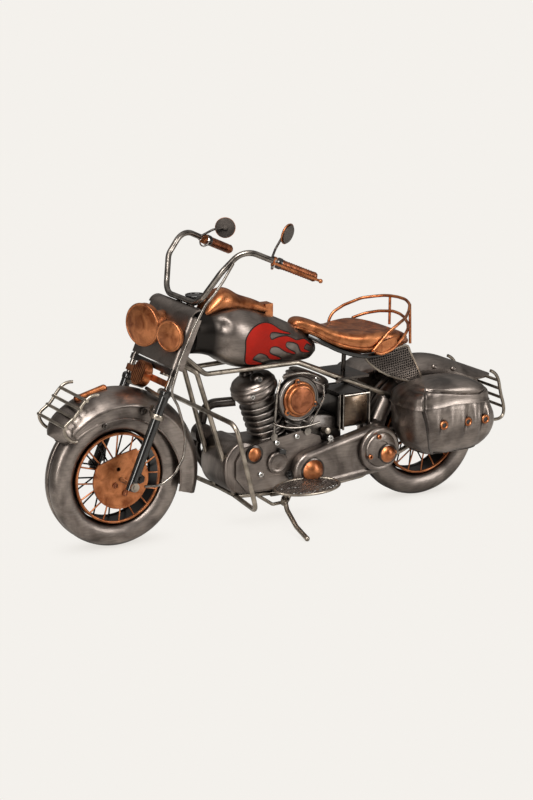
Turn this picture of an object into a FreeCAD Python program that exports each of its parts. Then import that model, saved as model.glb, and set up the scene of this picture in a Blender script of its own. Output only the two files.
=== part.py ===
import FreeCAD, Part

import math
import os

# Metal model motorcycle, millimetres.
# Frame: +X forward, +Y to the rider's left, +Z up.
# Origin: on the ground, on the mid-plane, half-way between the two axles.

# ---------------------------------------------------------------- driving dimensions
WHEELBASE = 245.0
WHEEL_RADIUS = 48.0
TYRE_DEPTH = 16.2
TYRE_HALF_WIDTH = 10.3
SHEET = 0.9
RIM_RADIUS = 30.6
RIM_HALF_WIDTH = 7.9
SPOKES_PER_SIDE = 16
SPOKE_RADIUS = 0.55
HUB_RADIUS = 4.5
AXLE_RADIUS = 1.5
RUNNING_CLEARANCE = 0.05

RAKE = 23.0
FORK_LEAD = 11.0
FORK_HALF_TRACK = 28.0
STEM_RADIUS = 2.5
FORK_LEG_RADIUS = 3.3
FORK_TUBE_RADIUS = 2.0

FRAME_ROD = 1.7
CRADLE_HALF_WIDTH = 13.5
CRASH_BAR_HALF_WIDTH = 57.0

CYLINDER_LEAN = 19.0
CYLINDER_RADIUS = 10.5
FIN_RADIUS = 13.8
CRANK_HEIGHT = 40.0
CRANK_X = -5.0
ENGINE_HALF_WIDTH = 18.0

FRONT_AXLE_X = WHEELBASE / 2
REAR_AXLE_X = -WHEELBASE / 2
FENDER_CROWN_RADIUS = 61.0
REAR_FENDER_RADIUS = 56.0

Y_AXIS = FreeCAD.Vector(0, 1, 0)
Z_AXIS = FreeCAD.Vector(0, 0, 1)
ORIGIN = FreeCAD.Vector(0, 0, 0)

os.makedirs("parts", exist_ok=True)


# ---------------------------------------------------------------- helpers
def vec(x, y, z):
    return FreeCAD.Vector(x, y, z)


def save(name, shapes):
    """Writes one node: a single solid, or a group of separate solids."""
    shapes = shapes if isinstance(shapes, list) else [shapes]
    solids = [solid for shape in shapes for solid in shape.Solids]
    body = solids[0] if len(solids) == 1 else Part.makeCompound(solids)
    body.exportStep(f"parts/{name}.step")
    return body


def mirrored(shape):
    return shape.mirror(ORIGIN, Y_AXIS)


def both_sides(shape):
    return [shape, mirrored(shape)]


def fuse(shapes):
    return shapes[0].multiFuse(shapes[1:]).removeSplitter()


def rounded_path(points, bend):
    """Straight runs joined by tangent arcs of the given bend radius."""
    edges = []
    start = points[0]
    for before, corner, after in zip(points, points[1:], points[2:]):
        back = (before - corner).normalize()
        ahead = (after - corner).normalize()
        half = back.getAngle(ahead) / 2
        room = 0.45 * min((before - corner).Length, (after - corner).Length)
        reach = min(bend / math.tan(half), room)
        radius = reach * math.tan(half)
        bisector = (back + ahead).normalize()
        centre = corner + bisector * (radius / math.sin(half))
        first = corner + back * reach
        last = corner + ahead * reach
        middle = centre - bisector * radius
        edges.append(Part.LineSegment(start, first).toShape())
        edges.append(Part.Arc(first, middle, last).toShape())
        start = last
    edges.append(Part.LineSegment(start, points[-1]).toShape())
    return Part.Wire(edges)


def sweep_round(path, start, direction, radius):
    profile = Part.Wire([Part.makeCircle(radius, start, direction)])
    return path.makePipeShell([profile], True, False)


def rod(points, radius, bend=6.0):
    """Round rod bent through the given points."""
    points = [vec(*p) for p in points]
    if len(points) == 2:
        run = points[1] - points[0]
        return Part.makeCylinder(radius, run.Length, points[0], run)
    path = rounded_path(points, bend)
    return sweep_round(path, points[0], points[1] - points[0], radius)


def smooth_rod(points, radius):
    """Round wire on a smooth curve through the given points."""
    curve = Part.BSplineCurve()
    curve.interpolate([vec(*p) for p in points])
    path = Part.Wire([curve.toShape()])
    return sweep_round(path, vec(*points[0]), curve.tangent(curve.FirstParameter)[0], radius)


def closed_rod(points, radius, bend=2.0):
    """Round wire ring through the given corners, started half-way along its first side."""
    points = [vec(*p) for p in points]
    start = (points[0] + points[1]) / 2
    loop = [start] + points[1:] + [points[0], start]
    path = rounded_path(loop, bend)
    return sweep_round(path, start, points[1] - points[0], radius)


def largest(shape):
    return max(shape.Solids, key=lambda solid: solid.Volume)


def hollow_prism(face, run, wall):
    """Hollow closed box: a flat outline extruded along run, with walls of even thickness."""
    direction = FreeCAD.Vector(run).normalize()
    outer = face.extrude(run)
    core = face.makeOffset2D(-wall)
    core.translate(direction * wall)
    return outer, core.extrude(run - direction * 2 * wall)


def disc_y(x, z, radius, y0, y1):
    """Cylinder along Y from y0 to y1."""
    return Part.makeCylinder(radius, y1 - y0, vec(x, y0, z), Y_AXIS)


def dome(centre, direction, radius, height):
    """Spherical cap standing on a flat base."""
    sphere_radius = (radius ** 2 + height ** 2) / (2 * height)
    latitude = math.degrees(math.asin((sphere_radius - height) / sphere_radius))
    low = centre - direction * (sphere_radius - height)
    return Part.makeSphere(sphere_radius, low, direction, latitude, 90, 360)


def face_xz(points, y):
    """Flat face in a plane of constant y."""
    outline = [vec(x, y, z) for x, z in points]
    return Part.Face(Part.makePolygon(outline + outline[:1]))


def curve_face(points, place):
    """Face inside a closed smooth curve through the points."""
    curve = Part.BSplineCurve()
    curve.interpolate([place(a, b) for a, b in points], PeriodicFlag=True)
    return Part.Face(Part.Wire([curve.toShape()]))


def ellipse_section(x, z, half_width, half_height):
    """Upright oval section of a body lofted along X."""
    wide = half_width >= half_height
    major, minor = (half_width, half_height) if wide else (half_height, half_width)
    oval = Part.Ellipse(vec(0, 0, 0), major, minor)
    edge = oval.toShape()
    edge.rotate(ORIGIN, Z_AXIS, 0 if wide else 90)
    edge.rotate(ORIGIN, vec(1, 0, 0), 90)
    edge.rotate(ORIGIN, Z_AXIS, 90)
    edge.translate(vec(x, 0, z))
    return Part.Wire([edge])


def around_axle(axle_x, radius, angle, y):
    """Point at a radius and angle about an axle; angle 0 points forward, 90 up."""
    a = math.radians(angle)
    return vec(axle_x + radius * math.cos(a), y, WHEEL_RADIUS + radius * math.sin(a))


# ---------------------------------------------------------------- steering geometry
LEAD_DIR = vec(math.cos(math.radians(RAKE)), 0, math.sin(math.radians(RAKE)))
STEER_DIR = vec(-math.sin(math.radians(RAKE)), 0, math.cos(math.radians(RAKE)))
STEER_BASE = vec(FRONT_AXLE_X, 0, WHEEL_RADIUS) - LEAD_DIR * FORK_LEAD


def steer(lead, y, up):
    """Point in the fork's own directions: ahead of the steering axis, sideways, up along it."""
    return STEER_BASE + LEAD_DIR * lead + Y_AXIS * y + STEER_DIR * up


def steer_xyz(lead, y, up):
    point = steer(lead, y, up)
    return (point.x, point.y, point.z)


def steer_cylinder(radius, lead, y, low, high):
    return Part.makeCylinder(radius, high - low, steer(lead, y, low), STEER_DIR)


def steer_block(lead0, lead1, y0, y1, low, high):
    """Block with its faces square to the fork's own directions."""
    block = Part.makeBox(lead1 - lead0, y1 - y0, high - low)
    turn = FreeCAD.Rotation(LEAD_DIR, Y_AXIS, STEER_DIR, "XYZ")
    block.Placement = FreeCAD.Placement(steer(lead0, y0, low), turn)
    return block


HEAD_LOW = 82.0
HEAD_HIGH = 113.0
LOWER_YOKE = (77.0, 81.0)
UPPER_YOKE = (115.0, 119.0)
FORK_TUBE_TOP = 119.0
FORK_LEG_TOP = 66.0


# ---------------------------------------------------------------- wheels
def tyre_shells(axle_x):
    """Two pressed half shells, left and right, with a gap between them at the centre."""
    middle = WHEEL_RADIUS - TYRE_DEPTH / 2
    gap = 0.6

    def half_oval(deep, wide, y):
        top = vec(axle_x, y, WHEEL_RADIUS + middle + deep)
        side = vec(axle_x, y + wide, WHEEL_RADIUS + middle)
        low = vec(axle_x, y, WHEEL_RADIUS + middle - deep)
        return top, side, low

    deep = TYRE_DEPTH / 2
    wide = TYRE_HALF_WIDTH - gap
    outer = half_oval(deep, wide, gap)
    inner = half_oval(deep - SHEET, wide - SHEET, gap)
    axis_point = vec(axle_x, 0, WHEEL_RADIUS)
    edges = [
        Part.Arc(*outer).toShape(),
        Part.LineSegment(outer[2], inner[2]).toShape(),
        Part.Arc(*inner).toShape(),
        Part.LineSegment(inner[0], outer[0]).toShape(),
    ]
    section = Part.Face(Part.Wire(Part.__sortEdges__(edges)))
    return both_sides(section.revolve(axis_point, Y_AXIS, 360))


def rim(axle_x):
    """Rim band with a round wire ring on each edge."""
    half = RIM_HALF_WIDTH
    band = disc_y(axle_x, WHEEL_RADIUS, RIM_RADIUS + 0.8, -half, half)
    band = band.cut(disc_y(axle_x, WHEEL_RADIUS, RIM_RADIUS, -half - 1, half + 1))
    rings = [
        Part.makeTorus(RIM_RADIUS - 0.2, 0.75, vec(axle_x, side * half, WHEEL_RADIUS), Y_AXIS)
        for side in (-1, 1)
    ]
    return fuse([band] + rings)


def hub(axle_x):
    body = disc_y(axle_x, WHEEL_RADIUS, HUB_RADIUS, -10.5, 10.5)
    flanges = [disc_y(axle_x, WHEEL_RADIUS, 7.5, y, y + 1.2) for y in (-9.0, 7.8)]
    bore = disc_y(axle_x, WHEEL_RADIUS, AXLE_RADIUS + RUNNING_CLEARANCE, -12, 12)
    return fuse([body] + flanges).cut(bore)


def spokes(axle_x):
    """Straight spokes in crossing pairs from the hub flange to the rim, on both sides."""
    hub_body = hub(axle_x)
    wires = []
    step = 360.0 / SPOKES_PER_SIDE
    for side in (-1, 1):
        for i in range(SPOKES_PER_SIDE):
            lean = 7.0 if i % 2 else -7.0
            inner = around_axle(axle_x, 7.6, i * step + 3 * lean, side * 8.4)
            outer = around_axle(axle_x, RIM_RADIUS - 1.0, i * step, side * (RIM_HALF_WIDTH - 0.3))
            wires.append(rod([tuple(inner), tuple(outer)], SPOKE_RADIUS).cut(hub_body))
    return wires


save("front_tyre", tyre_shells(FRONT_AXLE_X))
save("rear_tyre", tyre_shells(REAR_AXLE_X))
save("front_rim", rim(FRONT_AXLE_X))
save("rear_rim", rim(REAR_AXLE_X))
save("front_hub", hub(FRONT_AXLE_X))
save("rear_hub", hub(REAR_AXLE_X))
save("front_spokes", spokes(FRONT_AXLE_X))
save("rear_spokes", spokes(REAR_AXLE_X))


DISC_RADIUS = 20.3
DISC_LOBE = [(138.5, 59.6), (130.1, 62.6), (123.3, 65.2), (110.6, 67.8), (104.5, 58.0), (122.5, 48.0)]
DISC_TRIM = [(138.5, 59.6), (130.1, 62.6), (123.3, 65.2), (110.6, 67.8), (118.0, 72.0), (140.0, 70.0)]
DISC_RIVETS = [(127.0, 44.5), (119.8, 38.2)]
DISC_HOLE = (124.3, 55.3)


def brake_disc():
    """Cam-shaped plate on the left end of the front hub: one round hole and two rivet heads."""
    low, high = 10.5, 12.0
    thick = vec(0, high - low, 0)
    plate = disc_y(FRONT_AXLE_X, WHEEL_RADIUS, DISC_RADIUS, low, high)
    plate = plate.cut(face_xz(DISC_TRIM, low).extrude(thick))
    plate = fuse([plate, face_xz(DISC_LOBE, low).extrude(thick)])
    rivets = [disc_y(x, z, 1.7, low, high + 0.9) for x, z in DISC_RIVETS]
    plate = fuse([plate] + rivets).cut(disc_y(*DISC_HOLE, 1.5, 0, 20))
    return plate.cut(disc_y(FRONT_AXLE_X, WHEEL_RADIUS, AXLE_RADIUS + RUNNING_CLEARANCE, 0, 20))


save("brake_disc", brake_disc())


# ---------------------------------------------------------------- fork
def fork_leg():
    leg = steer_cylinder(FORK_LEG_RADIUS, FORK_LEAD, FORK_HALF_TRACK, -3.5, FORK_LEG_TOP)
    bore = disc_y(FRONT_AXLE_X, WHEEL_RADIUS, AXLE_RADIUS, 20, 40)
    clamp = steer_cylinder(FORK_LEG_RADIUS + 1.0, FORK_LEAD, FORK_HALF_TRACK, 47.0, 50.0)
    return fuse([leg, clamp]).cut(bore)


def fork_tube():
    return steer_cylinder(FORK_TUBE_RADIUS, FORK_LEAD, FORK_HALF_TRACK, FORK_LEG_TOP, FORK_TUBE_TOP)


def yoke(levels):
    """T-shaped clamp: a cross bar between the fork tubes and a web back to the stem."""
    low, high = levels
    bar = steer_block(FORK_LEAD - 2.2, FORK_LEAD + 1.8, -FORK_HALF_TRACK, FORK_HALF_TRACK, low, high)
    web = steer_block(2.0, FORK_LEAD, -9, 9, low, high)
    boss = steer_cylinder(5.0, 0, 0, low, high)
    eyes = [steer_cylinder(2.9, FORK_LEAD, side * FORK_HALF_TRACK, low, high) for side in (-1, 1)]
    body = fuse([bar, web, boss] + eyes)
    body = body.cut(steer_cylinder(STEM_RADIUS, 0, 0, low - 1, high + 1))
    for side in (-1, 1):
        tube = steer_cylinder(FORK_TUBE_RADIUS, FORK_LEAD, side * FORK_HALF_TRACK, low - 1, high + 1)
        body = body.cut(tube)
    return body


save("fork_legs", both_sides(fork_leg()))
save("fork_tubes", both_sides(fork_tube()))
stem = fuse([
    steer_cylinder(STEM_RADIUS, 0, 0, LOWER_YOKE[0] - 1.5, UPPER_YOKE[1] + 1.0),
    steer_cylinder(3.6, 0, 0, LOWER_YOKE[0] - 2.5, LOWER_YOKE[0]),
    steer_cylinder(3.6, 0, 0, UPPER_YOKE[1], UPPER_YOKE[1] + 2.0),
])
save("steering_stem", stem)

front_axle = fuse([
    disc_y(FRONT_AXLE_X, WHEEL_RADIUS, AXLE_RADIUS, -34.0, 34.0),
    disc_y(FRONT_AXLE_X, WHEEL_RADIUS, 3.0, FORK_HALF_TRACK + FORK_LEG_RADIUS, 33.5),
    disc_y(FRONT_AXLE_X, WHEEL_RADIUS, 3.0, -33.5, -FORK_HALF_TRACK - FORK_LEG_RADIUS),
])
save("front_axle", front_axle)

# Lamp plate: bent sheet in front of the fork tubes, with a rolled top edge.
PLATE_LOW = 82.0
PLATE_HIGH = 118.0
PLATE_LEAD = 13.1
PLATE_HALF = 31.0
PLATE_RETURN = 6.0


def lamp_plate():
    corner = 3.2
    front = PLATE_LEAD + SHEET
    outer = [
        steer_xyz(PLATE_RETURN, -PLATE_HALF, PLATE_LOW),
        steer_xyz(front, -PLATE_HALF, PLATE_LOW),
        steer_xyz(front, PLATE_HALF, PLATE_LOW),
        steer_xyz(PLATE_RETURN, PLATE_HALF, PLATE_LOW),
    ]
    inner = [
        steer_xyz(PLATE_RETURN, PLATE_HALF - SHEET, PLATE_LOW),
        steer_xyz(PLATE_LEAD, PLATE_HALF - SHEET, PLATE_LOW),
        steer_xyz(PLATE_LEAD, -PLATE_HALF + SHEET, PLATE_LOW),
        steer_xyz(PLATE_RETURN, -PLATE_HALF + SHEET, PLATE_LOW),
    ]
    outer_wire = rounded_path([vec(*p) for p in outer], corner)
    inner_wire = rounded_path([vec(*p) for p in inner], corner - SHEET)
    ends = [
        Part.LineSegment(vec(*outer[3]), vec(*inner[0])).toShape(),
        Part.LineSegment(vec(*inner[3]), vec(*outer[0])).toShape(),
    ]
    edges = outer_wire.Edges + inner_wire.Edges + ends
    section = Part.Face(Part.Wire(Part.__sortEdges__(edges)))
    sheet = section.extrude(STEER_DIR * (PLATE_HIGH - PLATE_LOW))
    roll_radius = 7.0
    centre_lead = front - roll_radius
    roll = Part.makeCylinder(
        roll_radius, 2 * PLATE_HALF, steer(centre_lead, -PLATE_HALF, PLATE_HIGH), Y_AXIS)
    hollow = Part.makeCylinder(
        roll_radius - SHEET, 2 * PLATE_HALF, steer(centre_lead, -PLATE_HALF, PLATE_HIGH), Y_AXIS)
    quarter = steer_block(centre_lead, front + 1, -PLATE_HALF, PLATE_HALF, PLATE_HIGH, PLATE_HIGH + 8)
    return fuse([sheet, roll.cut(hollow).common(quarter)])


plate = lamp_plate()
save("lamp_plate", plate)
save("fork_yokes", [yoke(LOWER_YOKE), yoke(UPPER_YOKE).cut(plate)])


def lamp(lead, y, up, yaw, radius, depth, face_height):
    """Round lamp: narrow neck, wide bowl, raised rim and a shallow crowned face."""
    turn = FreeCAD.Rotation(Z_AXIS, yaw)
    out = turn.multVec(vec(1, 0, 0))
    face = steer(lead, y, up)
    back = face - out * depth
    bowl = Part.makeCylinder(radius, depth, back, out)
    rim_ring = Part.makeTorus(radius - 0.2, 0.8, face - out * 0.6, out)
    crown = dome(face, out, radius - 1.0, face_height)
    neck = Part.makeCylinder(radius * 0.5, 20.5, back - out * 20, out)
    neck = neck.common(steer_block(PLATE_LEAD + SHEET, 60, -50, 50, 60, 140))
    return largest(fuse([neck, bowl, rim_ring, crown]).cut(plate))


headlamp = lamp(30.0, 0, 101.5, 20, 14.2, 5.0, 1.4)
save("headlamp", headlamp)
spot_lamps = [lamp(21.5, y, 101.0, yaw, 9.9, 3.2, 1.0) for y, yaw in ((-24.5, -13), (24.5, 24))]
save("spot_lamps", [largest(spot.cut(headlamp)) for spot in spot_lamps])


def grille_lamp():
    """Small round lamp on a flat strip between the fork tubes, behind a slotted grille."""
    level = 71.0
    strip = steer_block(13.0, 14.0, -29.0, 29.0, level - 2.2, level + 2.2)
    can = Part.makeCylinder(8.7, 5.0, steer(14.0, 0, level), LEAD_DIR)
    face_lead = 19.0
    grille = Part.makeCylinder(8.7, 1.2, steer(face_lead, 0, level), LEAD_DIR)
    for i in range(-3, 4):
        slot = steer_block(face_lead + 0.3, 21, i * 2.4 - 0.45, i * 2.4 + 0.45, level - 7, level + 7)
        grille = grille.cut(slot)
    return fuse([strip, can, grille])


save("grille_lamp", grille_lamp())

# ---------------------------------------------------------------- handlebar and controls
BAR_RADIUS = 2.0
BAR_CENTRE = (68.0, 164.0)
GRIP_START = vec(22.1, 49.9, 191.0)
GRIP_END = vec(1.4, 58.0, 182.0)


def handlebar():
    bar_x, bar_z = BAR_CENTRE
    left = [
        tuple(GRIP_END + (GRIP_START - GRIP_END) * 0.15),
        (46.5, 42.5, 202.0),
        (60.5, 37.5, 187.0),
        (bar_x + 2.0, 23.0, bar_z),
    ]
    right = [(x, -y, z) for x, y, z in reversed(left)]
    bar = rod(left + right, BAR_RADIUS, bend=14.0)
    risers = []
    for side in (-1, 1):
        foot = steer(2.5, side * 7.0, UPPER_YOKE[1] - 1)
        head = vec(bar_x, side * 7.0, bar_z)
        risers.append(Part.makeCylinder(2.0, (head - foot).Length, foot, head - foot))
    return fuse([bar] + risers).cut(yoke(UPPER_YOKE))


def grip():
    run = (GRIP_END - GRIP_START).normalize()
    length = (GRIP_END - GRIP_START).Length
    body = Part.makeCylinder(3.1, length, GRIP_START, run)
    end = dome(GRIP_END, run, 3.1, 1.6)
    collar = Part.makeCylinder(3.5, 2.5, GRIP_START - run * 2.5, run)
    return fuse([body, end, collar]).cut(bar_shape)


def lever():
    """Hand lever along the outer side of the grip, with a ball tip, hung from a ring on the bar."""
    run = (GRIP_END - GRIP_START).normalize()
    outward = vec(1.8, 4.1, -0.5)
    tip = GRIP_END + run * 3.5 + outward
    blade = rod([GRIP_START - run * 6.0 + outward, tip], 0.9)
    ball = Part.makeSphere(1.5, tip)
    ring = Part.makeCylinder(3.4, 2.0, GRIP_START - run * 6.5, run)
    arm = rod([GRIP_START - run * 5.5, GRIP_START - run * 5.5 + outward], 0.9)
    return fuse([ring, arm, blade, ball]).cut(bar_shape)


def mirror(centre, foot, bend):
    """Round mirror head on a thin bent wire stem that is welded to the bar beside the grip."""
    side = math.copysign(1.0, centre.y)
    inward = vec(0.45, -0.85 * side, 0.25).normalize()
    back = Part.makeCylinder(6.2, 1.0, centre - inward * 1.6, inward)
    glass = Part.makeCylinder(6.9, 1.0, centre - inward * 0.6, inward)
    knuckle = Part.makeCylinder(1.7, 2.6, centre + inward * 0.2, inward)
    stem_wire = rod([foot, bend, centre + inward * 1.8], 0.8, bend=3)
    for part in (bar_shape, grip_shape, mirrored(grip_shape), lever_shape, mirrored(lever_shape)):
        stem_wire = stem_wire.cut(part)
    return fuse([glass, back, knuckle, largest(stem_wire)])


bar_shape = largest(handlebar().cut(plate))
save("handlebar", bar_shape)
grip_shape = grip()
save("grips", both_sides(grip_shape))
lever_shape = lever().cut(grip_shape)
save("levers", both_sides(lever_shape))
left_mirror = mirror(vec(14.7, 44.0, 210.0), vec(28.5, 47.5, 194.6), vec(22.0, 41.5, 200.0))
right_mirror = mirror(vec(13.7, -42.0, 200.9), vec(30.0, -46.5, 195.8), vec(24.0, -41.0, 200.5))
save("mirrors", [left_mirror, right_mirror])

GAUGE_CENTRE = vec(59.5, 0.0, 161.5)
gauge = fuse([
    steer_cylinder(2.0, -1.0, 0, UPPER_YOKE[1] + 2.0, 128.5),
    Part.makeCylinder(7.0, 3.6, GAUGE_CENTRE, Z_AXIS),
    Part.makeTorus(6.7, 0.6, GAUGE_CENTRE + vec(0, 0, 3.6), Z_AXIS),
])
save("speedometer", gauge.cut(bar_shape))

# Brake cable: down the left side of the lamp plate, round behind the fork, into the hub.
CABLE_RADIUS = 0.9
cable = rod([
    (54.5, 42.9, 193.3), (60.5, 40.0, 181.4), (65.9, 37.5, 172.7), (71.1, 36.0, 166.6), (80.1, 35.5, 151.1),
    (89.8, 34.5, 129.5),
    (96.0, 33.5, 109.0), (91.0, 33.8, 100.0), (87.5, 34.0, 88.0), (85.5, 34.0, 76.0),
    (87.0, 34.0, 64.0), (93.5, 33.5, 53.0), (104.0, 32.8, 46.5), (115.0, 32.0, 47.5),
], CABLE_RADIUS, bend=14.0)
save("brake_cable", cable.cut(front_axle))


# ---------------------------------------------------------------- front fender and bumper
def fender_section(axle_x, angle, crown, half_width, skirt):
    """Closed sheet section of a deep fender at one angle: rounded crown and flat skirts."""
    def point(radius, y):
        return around_axle(axle_x, radius, angle, y)

    shoulder = crown - 7.0
    knee = crown - 1.8
    top = [(skirt, -half_width), (shoulder, -half_width), (knee, -half_width * 0.62),
           (crown, 0), (knee, half_width * 0.62), (shoulder, half_width), (skirt, half_width)]
    thin = SHEET
    under = [(skirt, half_width - thin), (shoulder - 0.3, half_width - thin),
             (knee - thin, half_width * 0.62 - 0.3), (crown - thin, 0),
             (knee - thin, -half_width * 0.62 + 0.3), (shoulder - 0.3, -half_width + thin),
             (skirt, -half_width + thin)]

    def half(points):
        ends = [points[0], points[-1]]
        middle = Part.BSplineCurve()
        middle.interpolate([point(r, y) for r, y in points[1:-1]])
        first = Part.LineSegment(point(*ends[0]), point(*points[1])).toShape()
        last = Part.LineSegment(point(*points[-2]), point(*ends[1])).toShape()
        return [first, middle.toShape(), last]

    bridge_a = Part.LineSegment(point(*top[-1]), point(*under[0])).toShape()
    bridge_b = Part.LineSegment(point(*under[-1]), point(*top[0])).toShape()
    edges = half(top) + [bridge_a] + half(under) + [bridge_b]
    return Part.Face(Part.Wire(Part.__sortEdges__(edges)))


FRONT_FENDER_START = 38.0
FRONT_FENDER_END = 196.0
front_section = fender_section(FRONT_AXLE_X, FRONT_FENDER_START, FENDER_CROWN_RADIUS, 18.0, 45.0)
front_fender = front_section.revolve(
    vec(FRONT_AXLE_X, 0, WHEEL_RADIUS), Y_AXIS * -1, FRONT_FENDER_END - FRONT_FENDER_START)
FENDER_STAY_UP = 48.5
stays = [
    rod([steer_xyz(FORK_LEAD, side * 17.6, FENDER_STAY_UP),
         steer_xyz(FORK_LEAD, side * (FORK_HALF_TRACK - 2.0), FENDER_STAY_UP)], 1.3)
    for side in (-1, 1)
]
fender_bridge = rod([steer_xyz(FORK_LEAD, -FORK_HALF_TRACK + 2, 61.3),
                     steer_xyz(FORK_LEAD, FORK_HALF_TRACK - 2, 61.3)], 1.3)
front_fender = fuse([front_fender, fender_bridge] + stays)
for leg in both_sides(fork_leg()):
    front_fender = front_fender.cut(leg)
save("front_fender", front_fender)


def fender_ornament():
    """Teardrop marker lamp on the fender crown, with a bead at its front end."""
    front = around_axle(FRONT_AXLE_X, FENDER_CROWN_RADIUS + 0.4, 66, 0)
    rear = around_axle(FRONT_AXLE_X, FENDER_CROWN_RADIUS + 0.4, 84, 0)
    body = rod([tuple(front), tuple(rear)], 2.4)
    nose = Part.makeSphere(3.0, front)
    tail = Part.makeSphere(2.4, rear)
    return largest(fuse([body, nose, tail]).cut(front_fender))


save("fender_ornament", fender_ornament())

BUMPER_ROD = 1.1
FRONT_BARS = [(151.0, 107.8), (155.5, 102.3), (160.0, 97.0), (166.5, 91.3)]


def front_bumper():
    bars = [rod([(x, -22.0, z), (x, 22.0, z)], BUMPER_ROD) for x, z in FRONT_BARS]
    sides = []
    for side in (-1, 1):
        path = [(142.0, side * 20.0, 110.5)] + [(x, side * 20.0, z) for x, z in FRONT_BARS]
        path += [(164.0, side * 19.3, 84.0), (157.0, side * 18.6, 80.5)]
        sides.append(smooth_rod(path, BUMPER_ROD))
    return fuse(bars + sides).cut(front_fender)


save("front_bumper", front_bumper())

# ---------------------------------------------------------------- frame
head_tube = steer_cylinder(4.5, 0, 0, HEAD_LOW, HEAD_HIGH)
head_tube = head_tube.cut(
    steer_cylinder(STEM_RADIUS + RUNNING_CLEARANCE, 0, 0, HEAD_LOW - 1, HEAD_HIGH + 1))
save("head_tube", head_tube)
head_solid = steer_cylinder(4.5, 0, 0, HEAD_LOW, HEAD_HIGH)

AXLE_PLATE_Y = 15.0


def frame_side():
    """Left half of the welded rod frame: down tube and bottom rail, top rail and rear stay."""
    y = CRADLE_HALF_WIDTH
    cradle = rod([
        (76.0, 3.5, 121.5), (64.0, 9.5, 114.0), (37.0, y, 24.0), (-24.0, y, 20.0),
        (-66.0, AXLE_PLATE_Y, 24.5), (REAR_AXLE_X, AXLE_PLATE_Y, WHEEL_RADIUS),
    ], FRAME_ROD, bend=5.0)
    stay = rod([
        (72.0, 3.5, 126.0), (58.0, 11.0, 112.5), (-12.0, AXLE_PLATE_Y, 113.5),
        (-97.0, AXLE_PLATE_Y, 77.0), (REAR_AXLE_X, AXLE_PLATE_Y, WHEEL_RADIUS),
    ], FRAME_ROD, bend=5.0)
    plate_y = AXLE_PLATE_Y - 1.2
    axle_plate = disc_y(REAR_AXLE_X, WHEEL_RADIUS, 5.0, plate_y, plate_y + 2.4)
    return [cradle, stay, axle_plate]


def cross_rod(x, z, half, radius=1.4):
    return rod([(x, -half, z), (x, half, z)], radius)


STAND_X = 1.0
STAND_PIVOT = vec(STAND_X, 21.5, 18.0)
STAND_AXIS = vec(0, 0.406, 0.914).normalize()


def stand_bracket():
    """Bent wire loop under the left rail that carries the side stand's pivot."""
    loop = rod([(18.0, CRADLE_HALF_WIDTH, 21.5), (8.0, 16.5, 14.5), (-4.0, 16.5, 15.0),
                (-9.0, CRADLE_HALF_WIDTH, 20.5)], 1.2, bend=2.5)
    peg = Part.makeCylinder(1.2, 9.0, STAND_PIVOT - STAND_AXIS * 4.5, STAND_AXIS)
    arm = rod([(1.0, 16.5, 14.7), tuple(STAND_PIVOT - STAND_AXIS * 4.0)], 1.2)
    return [loop, peg, arm]


frame_rods = frame_side()
frame_rods += [mirrored(part) for part in frame_side()]
frame_rods += [cross_rod(37.0, 24.5, CRADLE_HALF_WIDTH), cross_rod(-24.0, 20.0, CRADLE_HALF_WIDTH)]
frame_rods += [cross_rod(-30.0, 106.0, AXLE_PLATE_Y), cross_rod(58.0, 112.5, 11.0)]
frame_rods += stand_bracket()
frame_tubes = fuse(frame_rods).cut(head_solid)
rear_axle_bore = disc_y(REAR_AXLE_X, WHEEL_RADIUS, AXLE_RADIUS, -30, 30)
frame_tubes = frame_tubes.cut(rear_axle_bore)
save("frame_tubes", frame_tubes)

rear_axle = fuse([
    disc_y(REAR_AXLE_X, WHEEL_RADIUS, AXLE_RADIUS, -19.0, 19.0),
    disc_y(REAR_AXLE_X, WHEEL_RADIUS, 3.0, AXLE_PLATE_Y + 1.7, 18.7),
    disc_y(REAR_AXLE_X, WHEEL_RADIUS, 3.0, -18.7, -AXLE_PLATE_Y - 1.7),
])
save("rear_axle", rear_axle.cut(frame_tubes))

bar = CRASH_BAR_HALF_WIDTH
crash_bar = rod([
    (36.0, CRADLE_HALF_WIDTH - 1, 24.0), (44.0, bar, 26.0), (60.0, bar, 88.0),
    (60.0, -bar, 88.0), (44.0, -bar, 26.0), (36.0, -CRADLE_HALF_WIDTH + 1, 24.0),
], 1.65, bend=8.0)
save("crash_bar", crash_bar.cut(frame_tubes))

# ---------------------------------------------------------------- tank and console
TANK_SECTIONS = [
    (-33.5, 119.0, 3.0, 3.4), (-27.0, 121.0, 8.6, 9.2), (-14.5, 124.7, 12.6, 13.2),
    (1.7, 128.7, 16.6, 17.0), (19.9, 132.2, 20.2, 20.6), (32.0, 134.6, 21.8, 21.4),
    (43.0, 137.0, 20.6, 19.2), (50.0, 138.6, 16.6, 16.4), (58.0, 139.6, 14.8, 14.7),
    (66.0, 140.0, 14.2, 14.1),
]


def tank_loft(inset):
    wires = [ellipse_section(x, z, w - inset, h - inset) for x, z, w, h in TANK_SECTIONS]
    return Part.makeLoft(wires, True, False)


hollow = tank_loft(1.2).common(Part.makeBox(86.0, 80.0, 80.0, vec(-22.0, -40, 100)))
tank = tank_loft(0.0).cut(hollow)
tank = tank.cut(steer_cylinder(7.0, 0, 0, 70, 130))
tank = tank.cut(steer_block(-3.0, 40, -40, 40, 60, 140)).cut(frame_tubes)
tank = largest(tank)
save("fuel_tank", tank)


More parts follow.
